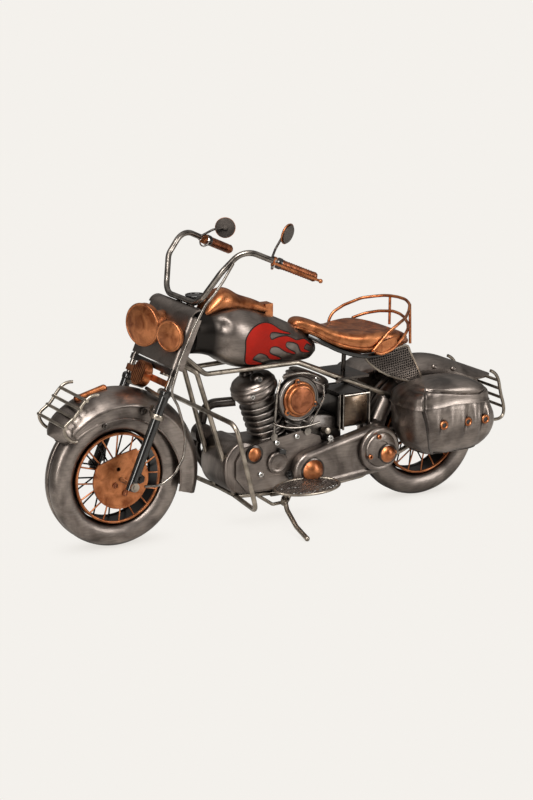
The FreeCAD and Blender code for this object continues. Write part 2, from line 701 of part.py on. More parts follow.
def tank_console():
    """Pressed console along the tank's spine: round dome in front, tapering to a latch box."""
    sections = [
        (56.0, 152.0, 8.0, 4.0), (48.0, 158.0, 10.5, 7.0), (39.0, 160.0, 10.5, 8.5),
        (29.0, 157.0, 8.0, 6.6), (19.0, 154.2, 6.0, 5.4), (9.0, 151.2, 5.0, 4.0), (4.0, 149.6, 4.4, 3.4),
    ]
    spine = Part.makeLoft([ellipse_section(*s) for s in sections], True, False)
    box = Part.makeBox(6.0, 9.0, 10.0, vec(1.8, -4.5, 144.5))
    return fuse([spine, box])


console = tank_console().cut(tank_loft(0.0)).cut(steer_cylinder(9.5, -2.0, 0, 110, 133))
console = largest(console)
save("tank_console", console)

# ---------------------------------------------------------------- seat
SEAT_OUTLINE = [
    (-13.0, 0.0), (-16.0, 6.0), (-26.0, 9.6), (-40.0, 15.2), (-54.0, 24.4), (-68.0, 29.2),
    (-82.0, 29.5), (-95.0, 24.5), (-103.0, 13.0), (-105.5, 0.0),
]
SEAT_SIDE = [
    (-12.0, 137.0), (-18.0, 142.0), (-27.0, 140.5), (-45.0, 133.5), (-60.0, 132.5), (-76.0, 133.0),
    (-94.0, 129.0), (-107.0, 121.0), (-104.0, 117.0), (-85.0, 116.5), (-64.0, 115.5),
    (-47.0, 118.5), (-30.0, 127.0), (-16.0, 133.5),
]
outline = SEAT_OUTLINE + [(x, -y) for x, y in reversed(SEAT_OUTLINE[1:-1])]
SEAT_CAVITY_SIDE = [
    (-98.0, 120.0), (-92.0, 125.5), (-76.0, 129.5), (-60.0, 129.5), (-46.0, 130.0), (-46.0, 122.0),
    (-64.0, 118.5), (-85.0, 119.0),
]
SEAT_CAVITY_PLAN = [
    (-46.0, 0.0), (-46.0, 12.0), (-54.0, 18.5), (-68.0, 25.5), (-82.0, 26.5), (-92.0, 22.5), (-100.0, 11.0),
    (-102.0, 0.0),
]
seat_plan = curve_face(outline, lambda x, y: vec(x, y, 100.0)).extrude(vec(0, 0, 60))
seat_side = curve_face(SEAT_SIDE, lambda x, z: vec(x, -40.0, z)).extrude(vec(0, 80, 0))
cavity_plan = [vec(x, y, 100.0) for x, y in SEAT_CAVITY_PLAN]
cavity_plan += [vec(p.x, -p.y, p.z) for p in reversed(cavity_plan[:-1])]
cavity_side = face_xz(SEAT_CAVITY_SIDE, -40.0).extrude(vec(0, 80, 0))
cavity = Part.Face(Part.makePolygon(cavity_plan)).extrude(vec(0, 0, 60)).common(cavity_side)
seat = seat_plan.common(seat_side).cut(tank_loft(0.0)).cut(cavity)
save("seat", largest(seat))

UPPER_HOOP = [
    (-64, 31, 119.5), (-70, 30.8, 125), (-75.8, 31.2, 131), (-82.8, 31.7, 136), (-95.5, 22.6, 137.6),
    (-104, 14, 140), (-109, 8, 143.5), (-110.5, 0, 145.5), (-109, -8, 146), (-106.5, -14, 146),
    (-104, -19, 145.5),
    (-100, -24, 144.5), (-92, -29.5, 143), (-79, -32.5, 138.5), (-70.5, -33.5, 134), (-67, -33.5, 129),
    (-66, -33, 123),
]
LOWER_HOOP = [
    (-65.5, 31, 118), (-70, 31.3, 116), (-79, 31.9, 118.7), (-88.7, 30, 125.2), (-95.8, 25.8, 130.3),
    (-107, 9, 130), (-108.5, 2, 133), (-108.5, -4, 134.5), (-106.5, -10, 135.5), (-101.4, -20.5, 134.1),
    (-95.4, -29, 131.6), (-86.4, -32.1, 128.5),
]
RAIL_POSTS = [((-109, 8, 143.5), (-110, 8, 115)), ((-106.5, -14, 146), (-106.5, -14, 125))]
LEAF = [(-62.5, 119.0), (-70.0, 125.0), (-82.0, 127.5), (-84.0, 120.0), (-72.0, 115.6)]


def seat_rail():
    """Two wire hoops round the back of the seat, meeting in a pressed leaf on each side."""
    parts = [rod(UPPER_HOOP, 1.1, bend=12.0), rod(LOWER_HOOP, 1.1, bend=12.0)]
    parts += [rod(ends, 1.0) for ends in RAIL_POSTS]
    parts.append(rod([LOWER_HOOP[-1], (-82.0, -24.0, 125.0)], 1.0))
    parts.append(face_xz(LEAF, 30.0).extrude(vec(0, 1.6, 0)))
    parts.append(rod([(-74.0, 24.0, 121.0), (-74.0, 31.0, 121.0)], 1.0))
    parts.append(rod([(-65.8, -33.0, 123.0), (-66.5, -24.0, 122.0)], 1.1))
    return fuse(parts).cut(seat)


rail = largest(seat_rail())
save("seat_rail", rail)

MESH_OUTLINE = [(-62.0, 114.5), (-93.0, 114.5), (-104.0, 100.0), (-106.0, 95.0), (-101.0, 91.5),
                (-84.0, 97.0), (-66.0, 109.0)]


def mesh_panel():
    """Rear side curtain: a woven wire panel bounded by a rim wire, hung under the seat's edge."""
    y = 27.5
    panel = face_xz(MESH_OUTLINE, y).extrude(vec(0, 0.8, 0))
    rim_points = [(x, y + 0.4, z) for x, z in MESH_OUTLINE]
    rim_wire = closed_rod(rim_points, 0.9)
    hanger = rod([(-76.0, y + 0.4, 113.5), (-76.0, 25.0, 119.0)], 0.9)
    return fuse([panel, rim_wire, hanger]).cut(seat).cut(rail)


left_curtain = largest(mesh_panel())
save("seat_mesh_panel", left_curtain)

seat_post = fuse([
    rod([(-58.5, 0.0, 97.5), (-59.5, 0.0, 117.0)], 1.6),
    Part.makeBox(26.0, 36.0, 1.6, vec(-69.0, -18.0, 97.5)),
])
save("seat_post", seat_post.cut(seat).cut(frame_tubes))


# ---------------------------------------------------------------- engine
def lean_dir(side):
    a = math.radians(CYLINDER_LEAN)
    return vec(side * math.sin(a), 0, math.cos(a))


CRANK = vec(CRANK_X, 0, CRANK_HEIGHT)


def lean_cylinder(side, radius, low, high):
    direction = lean_dir(side)
    return Part.makeCylinder(radius, high - low, CRANK + direction * low, direction)


def half_space(side):
    """Everything on one side of the valley between the two cylinders."""
    gap = 0.25
    x0 = CRANK_X + gap if side > 0 else CRANK_X - gap - 80
    return Part.makeBox(80, 80, 120, vec(x0, -40, 20))


CASE_TOP = 60.0
DECK = 21.0
HEAD_START = 52.0


def cylinder(side):
    """Barrel with six round fins, cut flat where it meets its neighbour."""
    barrel = lean_cylinder(side, CYLINDER_RADIUS, 10.0, HEAD_START)
    fins = []
    for i in range(6):
        low = DECK + 2.5 + i * 4.6
        fins.append(lean_cylinder(side, FIN_RADIUS, low, low + 2.4))
    return fuse([barrel] + fins).common(half_space(side))


def head(side):
    """Cylinder head: two wide ribs, a waist and a narrower cap."""
    parts = [
        lean_cylinder(side, FIN_RADIUS, HEAD_START, HEAD_START + 3.0),
        lean_cylinder(side, FIN_RADIUS + 3.0, HEAD_START + 3.0, HEAD_START + 8.0),
        lean_cylinder(side, FIN_RADIUS + 1.2, HEAD_START + 8.0, HEAD_START + 9.5),
        lean_cylinder(side, FIN_RADIUS + 2.0, HEAD_START + 9.5, HEAD_START + 13.0),
        lean_cylinder(side, FIN_RADIUS - 3.0, HEAD_START + 13.0, HEAD_START + 15.5),
    ]
    return fuse(parts).common(half_space(side))


def crankcase():
    """Case between the rails: convex front, flat sides and a deck under each barrel."""
    profile = [(40.0, 60.0), (46.0, 50.0), (46.0, 36.0), (38.0, 27.0), (20.0, 25.0), (-34.0, 25.0),
               (-38.0, 34.0), (-36.0, 52.0), (-24.0, CASE_TOP), (20.0, CASE_TOP), (30.0, 63.0)]
    outline = face_xz(profile, -ENGINE_HALF_WIDTH)
    block, core = hollow_prism(outline, vec(0, 2 * ENGINE_HALF_WIDTH, 0), 4.5)
    for y in (-CRADLE_HALF_WIDTH, CRADLE_HALF_WIDTH):
        block = block.cut(down_tube_space(y))
    return block.cut(core)


def down_tube_space(y):
    """Room for the down tube where it passes the front of the case."""
    return rod([(76.0, y * 0.26, 121.5), (64.0, y * 0.7, 114.0), (37.0, y, 24.0), (-24.0, y, 20.0),
                (-66.0, y * 1.11, 24.5)], FRAME_ROD + 0.1, bend=5.0)


cylinders = [cylinder(1), cylinder(-1)]
case = crankcase()
for barrel in cylinders:
    case = case.cut(barrel)
case = largest(case)
save("crankcase", case)
save("cylinders", cylinders)
heads = [head(1), head(-1)]
heads = [h.cut(frame_tubes).cut(tank) for h in heads]
save("cylinder_heads", [largest(h) for h in heads])

side_plate = face_xz([(33.0, 59.0), (39.0, 50.0), (39.0, 38.0), (31.0, 28.0), (-26.0, 28.0),
                      (-32.0, 40.0), (-28.0, 60.0), (-12.0, 66.0), (12.0, 62.0)], ENGINE_HALF_WIDTH)
side_plate = side_plate.extrude(vec(0, 2.0, 0))
save("crankcase_cover", side_plate)

COVER_FACE = ENGINE_HALF_WIDTH + 2.0
AIR_X, AIR_Z = -8.8, 89.5

air_housing = fuse([
    disc_y(AIR_X, AIR_Z, 15.8, 17.0, 22.5),
    Part.makeTorus(15.4, 0.9, vec(AIR_X, 22.0, AIR_Z), Y_AXIS),
    disc_y(AIR_X, AIR_Z, 6.0, 8.0, 17.0),
])
for obstacle in cylinders + heads + [frame_tubes]:
    air_housing = air_housing.cut(obstacle)
air_housing = largest(air_housing)
save("air_cleaner_housing", air_housing)

ears = []
for angle in (80, 200, 320):
    a = math.radians(angle)
    ears.append(disc_y(AIR_X + 12.6 * math.cos(a), AIR_Z + 12.6 * math.sin(a), 1.9, 22.9, 24.2))
air_cover = fuse([
    disc_y(AIR_X, AIR_Z, 12.8, 22.9, 24.2),
    disc_y(AIR_X, AIR_Z, 10.8, 24.2, 27.0),
    dome(vec(AIR_X, 27.0, AIR_Z), Y_AXIS, 10.0, 0.9),
] + ears)
save("air_cleaner_cover", air_cover.cut(air_housing))


def oil_lines():
    """Two straight push rods and two curved pipes on the engine's left side."""
    lines = [
        rod([(10.0, 20.9, 66.0), (8.5, 22.5, 96.0), (4.5, 20.0, 104.0)], 0.8, bend=3),
        rod([(-17.5, 20.9, 66.5), (-29.0, 23.0, 88.0), (-29.5, 21.0, 97.0)], 0.8, bend=3),
        smooth_rod(
            [(4.0, 22.0, 106.5), (-6.0, 23.0, 108.0), (-16.0, 23.0, 107.0), (-26.0, 22.0, 102.0)], 0.8
        ),
        smooth_rod([(12.0, 22.8, 75.0), (2.0, 23.5, 71.0), (-12.0, 23.5, 69.5), (-26.0, 22.5, 71.0)], 0.8),
    ]
    feet = [disc_y(10.0, 64.5, 2.6, COVER_FACE, COVER_FACE + 1.6),
            disc_y(-17.0, 65.0, 2.6, COVER_FACE, COVER_FACE + 1.6)]
    return fuse(lines[:1] + feet[:1]), fuse(lines[1:2] + feet[1:]), lines[2], lines[3]


obstacles = [side_plate, air_housing, case] + cylinders + heads
lines = []
for line in oil_lines():
    for obstacle in obstacles + lines:
        line = line.cut(obstacle)
    lines.append(largest(line))
save("pushrods_and_oil_lines", lines)


def screw(x, z, y, radius=1.6):
    return fuse([disc_y(x, z, radius, y, y + 1.2), dome(vec(x, y + 1.2, z), Y_AXIS, radius * 0.8, 0.6)])


PRIMARY_FRONT = (-17.8, 38.0, 14.0)
PRIMARY_REAR = (-71.5, 46.0, 17.5)
PRIMARY_Y = (COVER_FACE + 0.1, 28.0)


def capsule_face(front, rear, inset, y):
    """Outline of a cover wrapped round two circles by their outer tangents."""
    x1, z1, r1 = front
    x2, z2, r2 = rear
    r1, r2 = r1 - inset, r2 - inset
    span = math.hypot(x2 - x1, z2 - z1)
    base = math.atan2(z2 - z1, x2 - x1)
    swing = math.acos((r1 - r2) / span)

    def at(x, z, r, angle):
        return vec(x + r * math.cos(angle), y, z + r * math.sin(angle))

    up_front = at(x1, z1, r1, base - swing)
    up_rear = at(x2, z2, r2, base - swing)
    low_front = at(x1, z1, r1, base + swing)
    low_rear = at(x2, z2, r2, base + swing)
    edges = [
        Part.LineSegment(up_front, up_rear).toShape(),
        Part.Arc(up_rear, at(x2, z2, r2, base), low_rear).toShape(),
        Part.LineSegment(low_rear, low_front).toShape(),
        Part.Arc(low_front, at(x1, z1, r1, base + math.pi), up_front).toShape(),
    ]
    return Part.Wire(edges)


def primary_cover():
    low, high = PRIMARY_Y
    outline = capsule_face(PRIMARY_FRONT, PRIMARY_REAR, 0.0, low)
    lower = Part.Face(outline).extrude(vec(0, high - low - 2.5, 0))
    bevel = Part.makeLoft([
        capsule_face(PRIMARY_FRONT, PRIMARY_REAR, 0.0, high - 2.5),
        capsule_face(PRIMARY_FRONT, PRIMARY_REAR, 2.5, high),
    ], True, True)
    return fuse([lower, bevel]).cut(frame_tubes)


primary = primary_cover()
save("primary_cover", primary)

FLANGE_X, FLANGE_Z = -71.5, 47.0
clutch_cover = fuse([
    disc_y(FLANGE_X, FLANGE_Z, 16.0, PRIMARY_Y[1], PRIMARY_Y[1] + 3.0),
    disc_y(FLANGE_X, FLANGE_Z, 14.0, PRIMARY_Y[1] + 3.0, PRIMARY_Y[1] + 4.5),
])
save("clutch_cover", clutch_cover)

CLUTCH_FACE = PRIMARY_Y[1] + 4.5
copper_domes = [
    dome(vec(25.0, COVER_FACE, 54.0), Y_AXIS, 6.0, 3.2),
    dome(vec(PRIMARY_FRONT[0], PRIMARY_Y[1], PRIMARY_FRONT[1]), Y_AXIS, 8.4, 4.6),
    dome(vec(-76.5, CLUTCH_FACE, 43.5), Y_AXIS, 6.6, 4.4),
]
save("engine_domes", copper_domes)

filler_cap = fuse([
    disc_y(7.0, 46.0, 7.6, COVER_FACE, COVER_FACE + 3.0),
    dome(vec(7.0, COVER_FACE + 3.0, 46.0), Y_AXIS, 6.6, 0.8),
    Part.makeBox(5.0, 3.4, 4.0, vec(2.5, COVER_FACE, 51.5)),
])
save("filler_cap", filler_cap)

screws = [screw(-8.5, 62.5, COVER_FACE), screw(7.5, 60.0, COVER_FACE), screw(20.0, 39.0, COVER_FACE)]
for angle in (75, 195, 340):
    a = math.radians(angle)
    screws.append(screw(FLANGE_X + 10.5 * math.cos(a), FLANGE_Z + 10.5 * math.sin(a), CLUTCH_FACE, 1.4))
screws[3:] = [s.cut(copper_domes[2]) for s in screws[3:]]
save("engine_screws", screws)

# ---------------------------------------------------------------- middle of the bike
oil_tank = Part.makeBox(27.0, 32.0, 24.0, vec(-72.0, -16.0, 62.0))
oil_tank = oil_tank.makeFillet(2.0, oil_tank.Edges)
ribs = [Part.makeBox(1.6, 33.6, 25.0, vec(x, -16.8, 61.5)) for x in (-70.0, -49.0)]
oil_tank = fuse([oil_tank] + ribs).cut(Part.makeBox(22.0, 27.0, 19.0, vec(-69.5, -13.5, 64.5)))
oil_tank = oil_tank.cut(frame_tubes)
for obstacle in cylinders + heads + [case, primary]:
    oil_tank = oil_tank.cut(obstacle)
oil_tank = largest(oil_tank)
save("oil_tank", oil_tank)

shock_top = vec(-86.0, 14.3, 78.5)
shock_low = vec(-78.5, 14.3, 64.0)
shock_run = shock_top - shock_low
shock = Part.makeCylinder(5.4, shock_run.Length, shock_low, shock_run)
shock = shock.cut(frame_tubes).cut(primary)
save("rear_shocks", both_sides(largest(shock)))


def exhaust_pipe():
    """Pipe on the right side: out of the front head, down the case and back under the rail."""
    path = [(22.0, -12.0, 84.0), (40.0, -22.0, 82.0), (47.0, -25.0, 50.0), (34.0, -25.0, 29.0),
            (-20.0, -27.0, 28.0), (-84.0, -24.0, 33.0)]
    pipe = rod(path, 3.4, bend=10.0)
    box = disc_y(44.0, 62.0, 7.0, -24.0, -16.5)
    return fuse([pipe, box])


exhaust = exhaust_pipe()
for obstacle in [case, frame_tubes, heads[0], cylinders[0], crash_bar]:
    exhaust = exhaust.cut(obstacle)
exhaust = largest(exhaust)
save("exhaust_pipe", exhaust)


def footboard():
    """Oval tread of wire mesh inside a rim wire, on two short arms from the bottom rail."""
    centre = vec(-6.0, 39.5, 31.0)
    outer = Part.Face(Part.Wire([Part.Ellipse(centre, 25.0, 12.5).toShape()]))
    tread = outer.extrude(vec(0, 0, 1.0))
    path = Part.Wire([Part.Ellipse(centre + vec(0, 0, 0.5), 25.0, 12.5).toShape()])
    rim_wire = sweep_round(path, centre + vec(25.0, 0, 0.5), Y_AXIS, 1.1)
    arms = [rod([(x, CRADLE_HALF_WIDTH, 20.5), (x, 30.0, 26.5), (x, 38.0, 31.0)], 1.2, bend=3)
            for x in (-16.0, 8.0)]
    return fuse([tread, rim_wire] + arms)


left_board = footboard().cut(frame_tubes).cut(primary).cut(copper_domes[1])
right_board = mirrored(footboard()).cut(frame_tubes).cut(exhaust)
boards = [largest(b) for b in (left_board, right_board)]
save("footboards", boards)

# ---------------------------------------------------------------- rear fender, bags, bumper
rear_section = fender_section(REAR_AXLE_X, 100.0, REAR_FENDER_RADIUS, 17.5, 40.0)
FENDER_FRONT_ANGLE = 56.0
FENDER_REAR_ANGLE = 110.0
TAIL_RUN = vec(-42.5, 0, -17.0)
TAIL_START_X = -150.0
TAIL_END_X = -184.5


def rear_fender():
    """Arc over the wheel, then a straight tail that rounds off to a tongue behind."""
    axis_point = vec(REAR_AXLE_X, 0, WHEEL_RADIUS)
    front = rear_section.copy()
    front.rotate(axis_point, Y_AXIS, 100.0 - FENDER_FRONT_ANGLE)
    arc = front.revolve(axis_point, Y_AXIS * -1, FENDER_REAR_ANGLE - FENDER_FRONT_ANGLE)
    tail_section = rear_section.copy()
    tail_section.rotate(axis_point, Y_AXIS, 100.0 - FENDER_REAR_ANGLE)
    tail = tail_section.extrude(TAIL_RUN)
    tongue = Part.Ellipse(vec(TAIL_START_X, 0, 40), TAIL_START_X - TAIL_END_X, 18.2)
    plan = Part.Face(Part.Wire([tongue.toShape()])).extrude(vec(0, 0, 80))
    ahead = Part.makeBox(80.0, 60.0, 80.0, vec(TAIL_START_X, -30, 40))
    return fuse([arc, tail.common(fuse([plan, ahead]))])


rear_guard = largest(rear_fender().cut(frame_tubes))
save("rear_fender", rear_guard)

BAG_BODY = [(-83.0, 77.0), (-83.0, 64.0), (-86.0, 56.0), (-92.0, 46.0), (-104.0, 43.5), (-140.0, 44.5),
            (-149.0, 48.5), (-155.0, 55.5), (-157.5, 63.5), (-155.0, 71.0), (-152.0, 77.0)]
BAG_LID = [(-83.0, 77.2), (-83.5, 86.0), (-88.0, 91.0), (-97.0, 94.0), (-113.0, 95.8), (-132.0, 94.8),
           (-142.0, 91.8), (-148.0, 88.0), (-152.0, 84.0), (-152.5, 77.2)]
BAG_PLAN = [(-97.0, 20.0), (-91.0, 24.0), (-84.0, 33.0), (-83.0, 45.0), (-90.0, 55.0), (-104.0, 57.5),
            (-140.0, 57.5), (-153.0, 53.0), (-157.5, 42.0), (-157.0, 28.0), (-152.0, 20.0)]
BAG_OUTER = 57.5
BAG_WALL = 1.2


def bag_shell(profile):
    """Hollow pressed box: side outline and rounded plan outline combined."""
    side = hollow_prism(face_xz(profile, 15.0), vec(0, 50, 0), BAG_WALL)
    floor = [vec(x, y, 30.0) for x, y in BAG_PLAN]
    plan = hollow_prism(Part.Face(Part.makePolygon(floor + floor[:1])), vec(0, 0, 80), BAG_WALL)
    return side[0].common(plan[0]).cut(side[1].common(plan[1]))


bag = bag_shell(BAG_BODY)
right_lid = mirrored(bag_shell(BAG_LID))
lids = [bag_shell(BAG_LID).cut(left_curtain), right_lid]
save("saddlebags", both_sides(bag))
save("saddlebag_lids", lids)

rings = []
for x in (-106.5, -127.0, -142.0):
    outer_ring = disc_y(x, 66.5, 3.0, BAG_OUTER, BAG_OUTER + 1.4)
    rings += both_sides(outer_ring.cut(disc_y(x, 66.5, 1.1, BAG_OUTER - 1, BAG_OUTER + 2)))
save("bag_rings", rings)

REAR_BARS = [(-175.5, 83.8), (-177.0, 77.5), (-179.0, 70.5), (-181.0, 63.5)]


def rear_bumper():
    bars = [rod([(x, -27.0, z), (x, 27.0, z)], BUMPER_ROD) for x, z in REAR_BARS]
    sides = []
    for side in (-1, 1):
        y = side * 27.0
        path = [(-168.0, y, 92.0)] + [(x, y, z) for x, z in REAR_BARS]
        path += [(-180.5, y, 57.5), (-173.0, side * 29.0, 55.5), (-152.0, side * 32.0, 60.0)]
        sides.append(smooth_rod(path, BUMPER_ROD + 0.1))
    return fuse(bars + sides).cut(rear_guard)


bumper = rear_bumper()
for solid in both_sides(bag) + lids:
    bumper = bumper.cut(solid)
save("rear_bumper", largest(bumper))


# ---------------------------------------------------------------- side stand
def stand_leg():
    """Bent rod leg with an eye round the pivot peg; its rounded foot rests on the ground."""
    foot_radius = 1.8
    path = [tuple(STAND_PIVOT), (2.5, 27.0, 12.5), (5.0, 44.0, 5.5), (6.0, 60.0, foot_radius)]
    leg = rod(path, 1.7, bend=8.0)
    foot = Part.makeSphere(foot_radius, vec(*path[-1]))
    eye = Part.makeCylinder(2.8, 3.4, STAND_PIVOT - STAND_AXIS * 1.7, STAND_AXIS)
    bore = Part.makeCylinder(1.2 + RUNNING_CLEARANCE, 12, STAND_PIVOT - STAND_AXIS * 6, STAND_AXIS)
    return fuse([leg, foot, eye]).cut(bore)


save("side_stand_leg", stand_leg())
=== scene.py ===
from math import acos, asin, atan2, copysign, cos, degrees, exp, hypot, pi, radians, sin, sqrt

import bpy
from mathutils import Matrix, Vector
from mathutils.geometry import delaunay_2d_cdt


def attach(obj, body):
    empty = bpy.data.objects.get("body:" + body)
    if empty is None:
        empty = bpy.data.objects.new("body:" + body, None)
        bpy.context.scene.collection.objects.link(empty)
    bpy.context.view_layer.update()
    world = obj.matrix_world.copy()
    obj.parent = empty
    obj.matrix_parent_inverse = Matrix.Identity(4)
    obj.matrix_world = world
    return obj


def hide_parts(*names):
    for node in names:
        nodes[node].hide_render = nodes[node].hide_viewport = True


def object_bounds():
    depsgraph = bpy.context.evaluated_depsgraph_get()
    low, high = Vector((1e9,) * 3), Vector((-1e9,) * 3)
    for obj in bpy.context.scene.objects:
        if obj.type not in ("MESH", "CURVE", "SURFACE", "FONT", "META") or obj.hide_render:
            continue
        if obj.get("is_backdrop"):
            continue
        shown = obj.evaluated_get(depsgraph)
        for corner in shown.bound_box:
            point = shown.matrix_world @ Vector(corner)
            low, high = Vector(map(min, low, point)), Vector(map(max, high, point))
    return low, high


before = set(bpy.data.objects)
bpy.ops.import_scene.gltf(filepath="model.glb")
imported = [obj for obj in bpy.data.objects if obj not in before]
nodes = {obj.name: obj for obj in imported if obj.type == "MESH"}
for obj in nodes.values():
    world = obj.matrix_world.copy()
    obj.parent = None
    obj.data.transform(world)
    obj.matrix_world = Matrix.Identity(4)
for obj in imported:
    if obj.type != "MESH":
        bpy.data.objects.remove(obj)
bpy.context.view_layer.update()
MM = 0.001  # metres in a millimetre


# ---- materials
def new_material(name):
    material = bpy.data.materials.new(name)
    material.use_nodes = True
    tree = material.node_tree
    tree.nodes.clear()
    output = tree.nodes.new("ShaderNodeOutputMaterial")
    shader = tree.nodes.new("ShaderNodeBsdfPrincipled")
    tree.links.new(shader.outputs[0], output.inputs[0])
    return material, tree, shader


def add(tree, kind, **inputs):
    node = tree.nodes.new(kind)
    for key, value in inputs.items():
        socket = node.inputs[key.replace("_", " ")]
        if hasattr(value, "is_output"):
            tree.links.new(value, socket)
        else:
            socket.default_value = value
    return node


def noise_field(tree, scale, detail=4.0, stretch=(1, 1, 1), distortion=0.0):
    """Grey noise in the part's frame; a small stretch on an axis draws it out along that axis."""
    place = tree.nodes.new("ShaderNodeTexCoord")
    spread = add(tree, "ShaderNodeMapping", Vector=place.outputs["Object"], Scale=stretch)
    field = add(tree, "ShaderNodeTexNoise", Vector=spread.outputs[0], Scale=scale, Detail=detail,
                Distortion=distortion)
    return field.outputs["Fac"]


def ramp(tree, fac, stops):
    node = tree.nodes.new("ShaderNodeValToRGB")
    tree.links.new(fac, node.inputs[0])
    bar = node.color_ramp
    while len(bar.elements) < len(stops):
        bar.elements.new(0.5)
    for element, (position, colour) in zip(bar.elements, stops):
        element.position = position
        element.color = (*colour, 1.0)
    return node.outputs["Color"]


def blend_colours(tree, fac, one, two, mode="MIX"):
    node = tree.nodes.new("ShaderNodeMix")
    node.data_type = "RGBA"
    node.blend_type = mode
    for socket, value in ((node.inputs[0], fac), (node.inputs[6], one), (node.inputs[7], two)):
        if hasattr(value, "is_output"):
            tree.links.new(value, socket)
        else:
            socket.default_value = value if isinstance(value, float) else (*value, 1.0)
    return node.outputs[2]


def grey_range(tree, fac, low, high):
    node = add(tree, "ShaderNodeMapRange", Value=fac, To_Min=low, To_Max=high)
    return node.outputs[0]


def metal(name, dark, light, rough=(0.28, 0.5), brush=(1, 1, 1), patch_scale=45.0, grain=0.06,
          metallic=1.0, coat=0.0, strokes=0.35, crevice_shade=0.2, reach=0.005):
    """Metal with cloudy patina, drawn-out brush marks, fine pitting and painted shade darkening its corners
    and crevices.
    """
    material, tree, shader = new_material(name)
    patches = noise_field(tree, patch_scale, 6.0, distortion=0.6)
    colour = ramp(tree, patches, [(0.34, dark), (0.62, light)])
    lines = noise_field(tree, 900.0, 2.0, brush)
    marks = ramp(tree, lines, [(0.35, (0.45,) * 3), (0.65, (1.0,) * 3)])
    colour = blend_colours(tree, strokes, colour, marks, "MULTIPLY")
    # painted shade: ambient occlusion darkens the colour in corners and crevices
    corner = add(tree, "ShaderNodeAmbientOcclusion", Distance=reach)
    corner.samples = 6
    painted_corner_shade = ramp(tree, corner.outputs["AO"], [(0.25, (crevice_shade,) * 3), (0.8, (1.0,) * 3)])
    colour = blend_colours(tree, 1.0, colour, painted_corner_shade, "MULTIPLY")
    tree.links.new(colour, shader.inputs["Base Color"])
    shader.inputs["Metallic"].default_value = metallic
    spots = noise_field(tree, 160.0, 3.0)
    tree.links.new(grey_range(tree, spots, *rough), shader.inputs["Roughness"])
    pits = noise_field(tree, 700.0, 3.0, brush)
    bump = add(tree, "ShaderNodeBump", Height=pits, Strength=grain, Distance=0.0004)
    tree.links.new(bump.outputs[0], shader.inputs["Normal"])
    shader.inputs["Coat Weight"].default_value = coat
    shader.inputs["Coat Roughness"].default_value = 0.1
    return material


STEEL = metal("patinated_steel", (0.115, 0.096, 0.086), (0.34, 0.292, 0.262), (0.28, 0.44),
              (0.12, 1, 1), coat=0.15)
STEEL_UPRIGHT = metal("brushed_steel_upright", (0.11, 0.092, 0.082), (0.29, 0.247, 0.222), (0.26, 0.42),
                      (1, 1, 0.08), grain=0.12, coat=0.2)
DARK_STEEL = metal("dark_steel", (0.035, 0.030, 0.027), (0.13, 0.112, 0.100), (0.22, 0.4), coat=0.3)
FIN_STEEL = metal("turned_steel", (0.13, 0.114, 0.104), (0.34, 0.305, 0.28), (0.26, 0.4), coat=0.15,
                  strokes=0.1, grain=0.02, crevice_shade=0.05, reach=0.0035)
ROD = metal("bare_rod", (0.20, 0.172, 0.142), (0.44, 0.385, 0.32), (0.26, 0.4), patch_scale=120.0,
            coat=0.15, strokes=0.12, grain=0.02, crevice_shade=0.35)
BAR_STEEL = metal("bar_steel", (0.12, 0.105, 0.092), (0.36, 0.325, 0.29), (0.16, 0.3), patch_scale=120.0,
                  coat=0.4, strokes=0.1, grain=0.015, crevice_shade=0.3)
COPPER = metal("copper_plate", (0.235, 0.068, 0.023), (0.60, 0.228, 0.092), (0.30, 0.46),
               patch_scale=130.0, grain=0.05, coat=0.2, strokes=0.12, crevice_shade=0.25)
DARK_COPPER = metal("aged_copper", (0.13, 0.038, 0.016), (0.42, 0.15, 0.07), (0.3, 0.5),
                    patch_scale=160.0, grain=0.06, coat=0.15, strokes=0.15, crevice_shade=0.2)
BLACK = metal("black_lacquer", (0.006, 0.006, 0.006), (0.016, 0.015, 0.014), (0.1, 0.2), metallic=0.3,
              coat=0.8, grain=0.02)
BRIGHT = metal("bright_wire", (0.45, 0.44, 0.42), (0.8, 0.79, 0.77), (0.12, 0.25), grain=0.01, strokes=0.05,
               crevice_shade=0.5)


def shaded_along(base, name, axis, dark, light, colour):
    """Copy of a finish with painted shade: it darkens to a colour along an axis, from light to dark in
    metres.
    """
    material = base.copy()
    material.name = name
    tree = material.node_tree
    shader = next(node for node in tree.nodes if node.type == "BSDF_PRINCIPLED")
    source = shader.inputs["Base Color"].links[0].from_socket
    place = tree.nodes.new("ShaderNodeTexCoord")
    split = add(tree, "ShaderNodeSeparateXYZ", Vector=place.outputs["Object"])
    share = add(tree, "ShaderNodeMapRange", Value=split.outputs[axis], From_Min=dark, From_Max=light)
    tree.links.new(blend_colours(tree, share.outputs[0], colour, source), shader.inputs["Base Color"])
    return material


def soft_edges(thing, width):
    soft = thing.modifiers.new("soft_edges", "BEVEL")
    soft.width = width * MM
    soft.segments = 2
    soft.limit_method = "ANGLE"
    soft.angle_limit = radians(40)


def smooth_by_angle(thing, angle):
    for polygon in thing.data.polygons:
        polygon.use_smooth = True
    sharp = thing.modifiers.new("smooth_by_angle", "EDGE_SPLIT")
    sharp.split_angle = radians(angle)


def finish_node(name, material):
    """Shows a CAD node with a procedural finish and softened edges."""
    node = nodes[name]
    node.data.materials.clear()
    node.data.materials.append(material)
    soft_edges(node, 0.25)
    smooth_by_angle(node, 35)


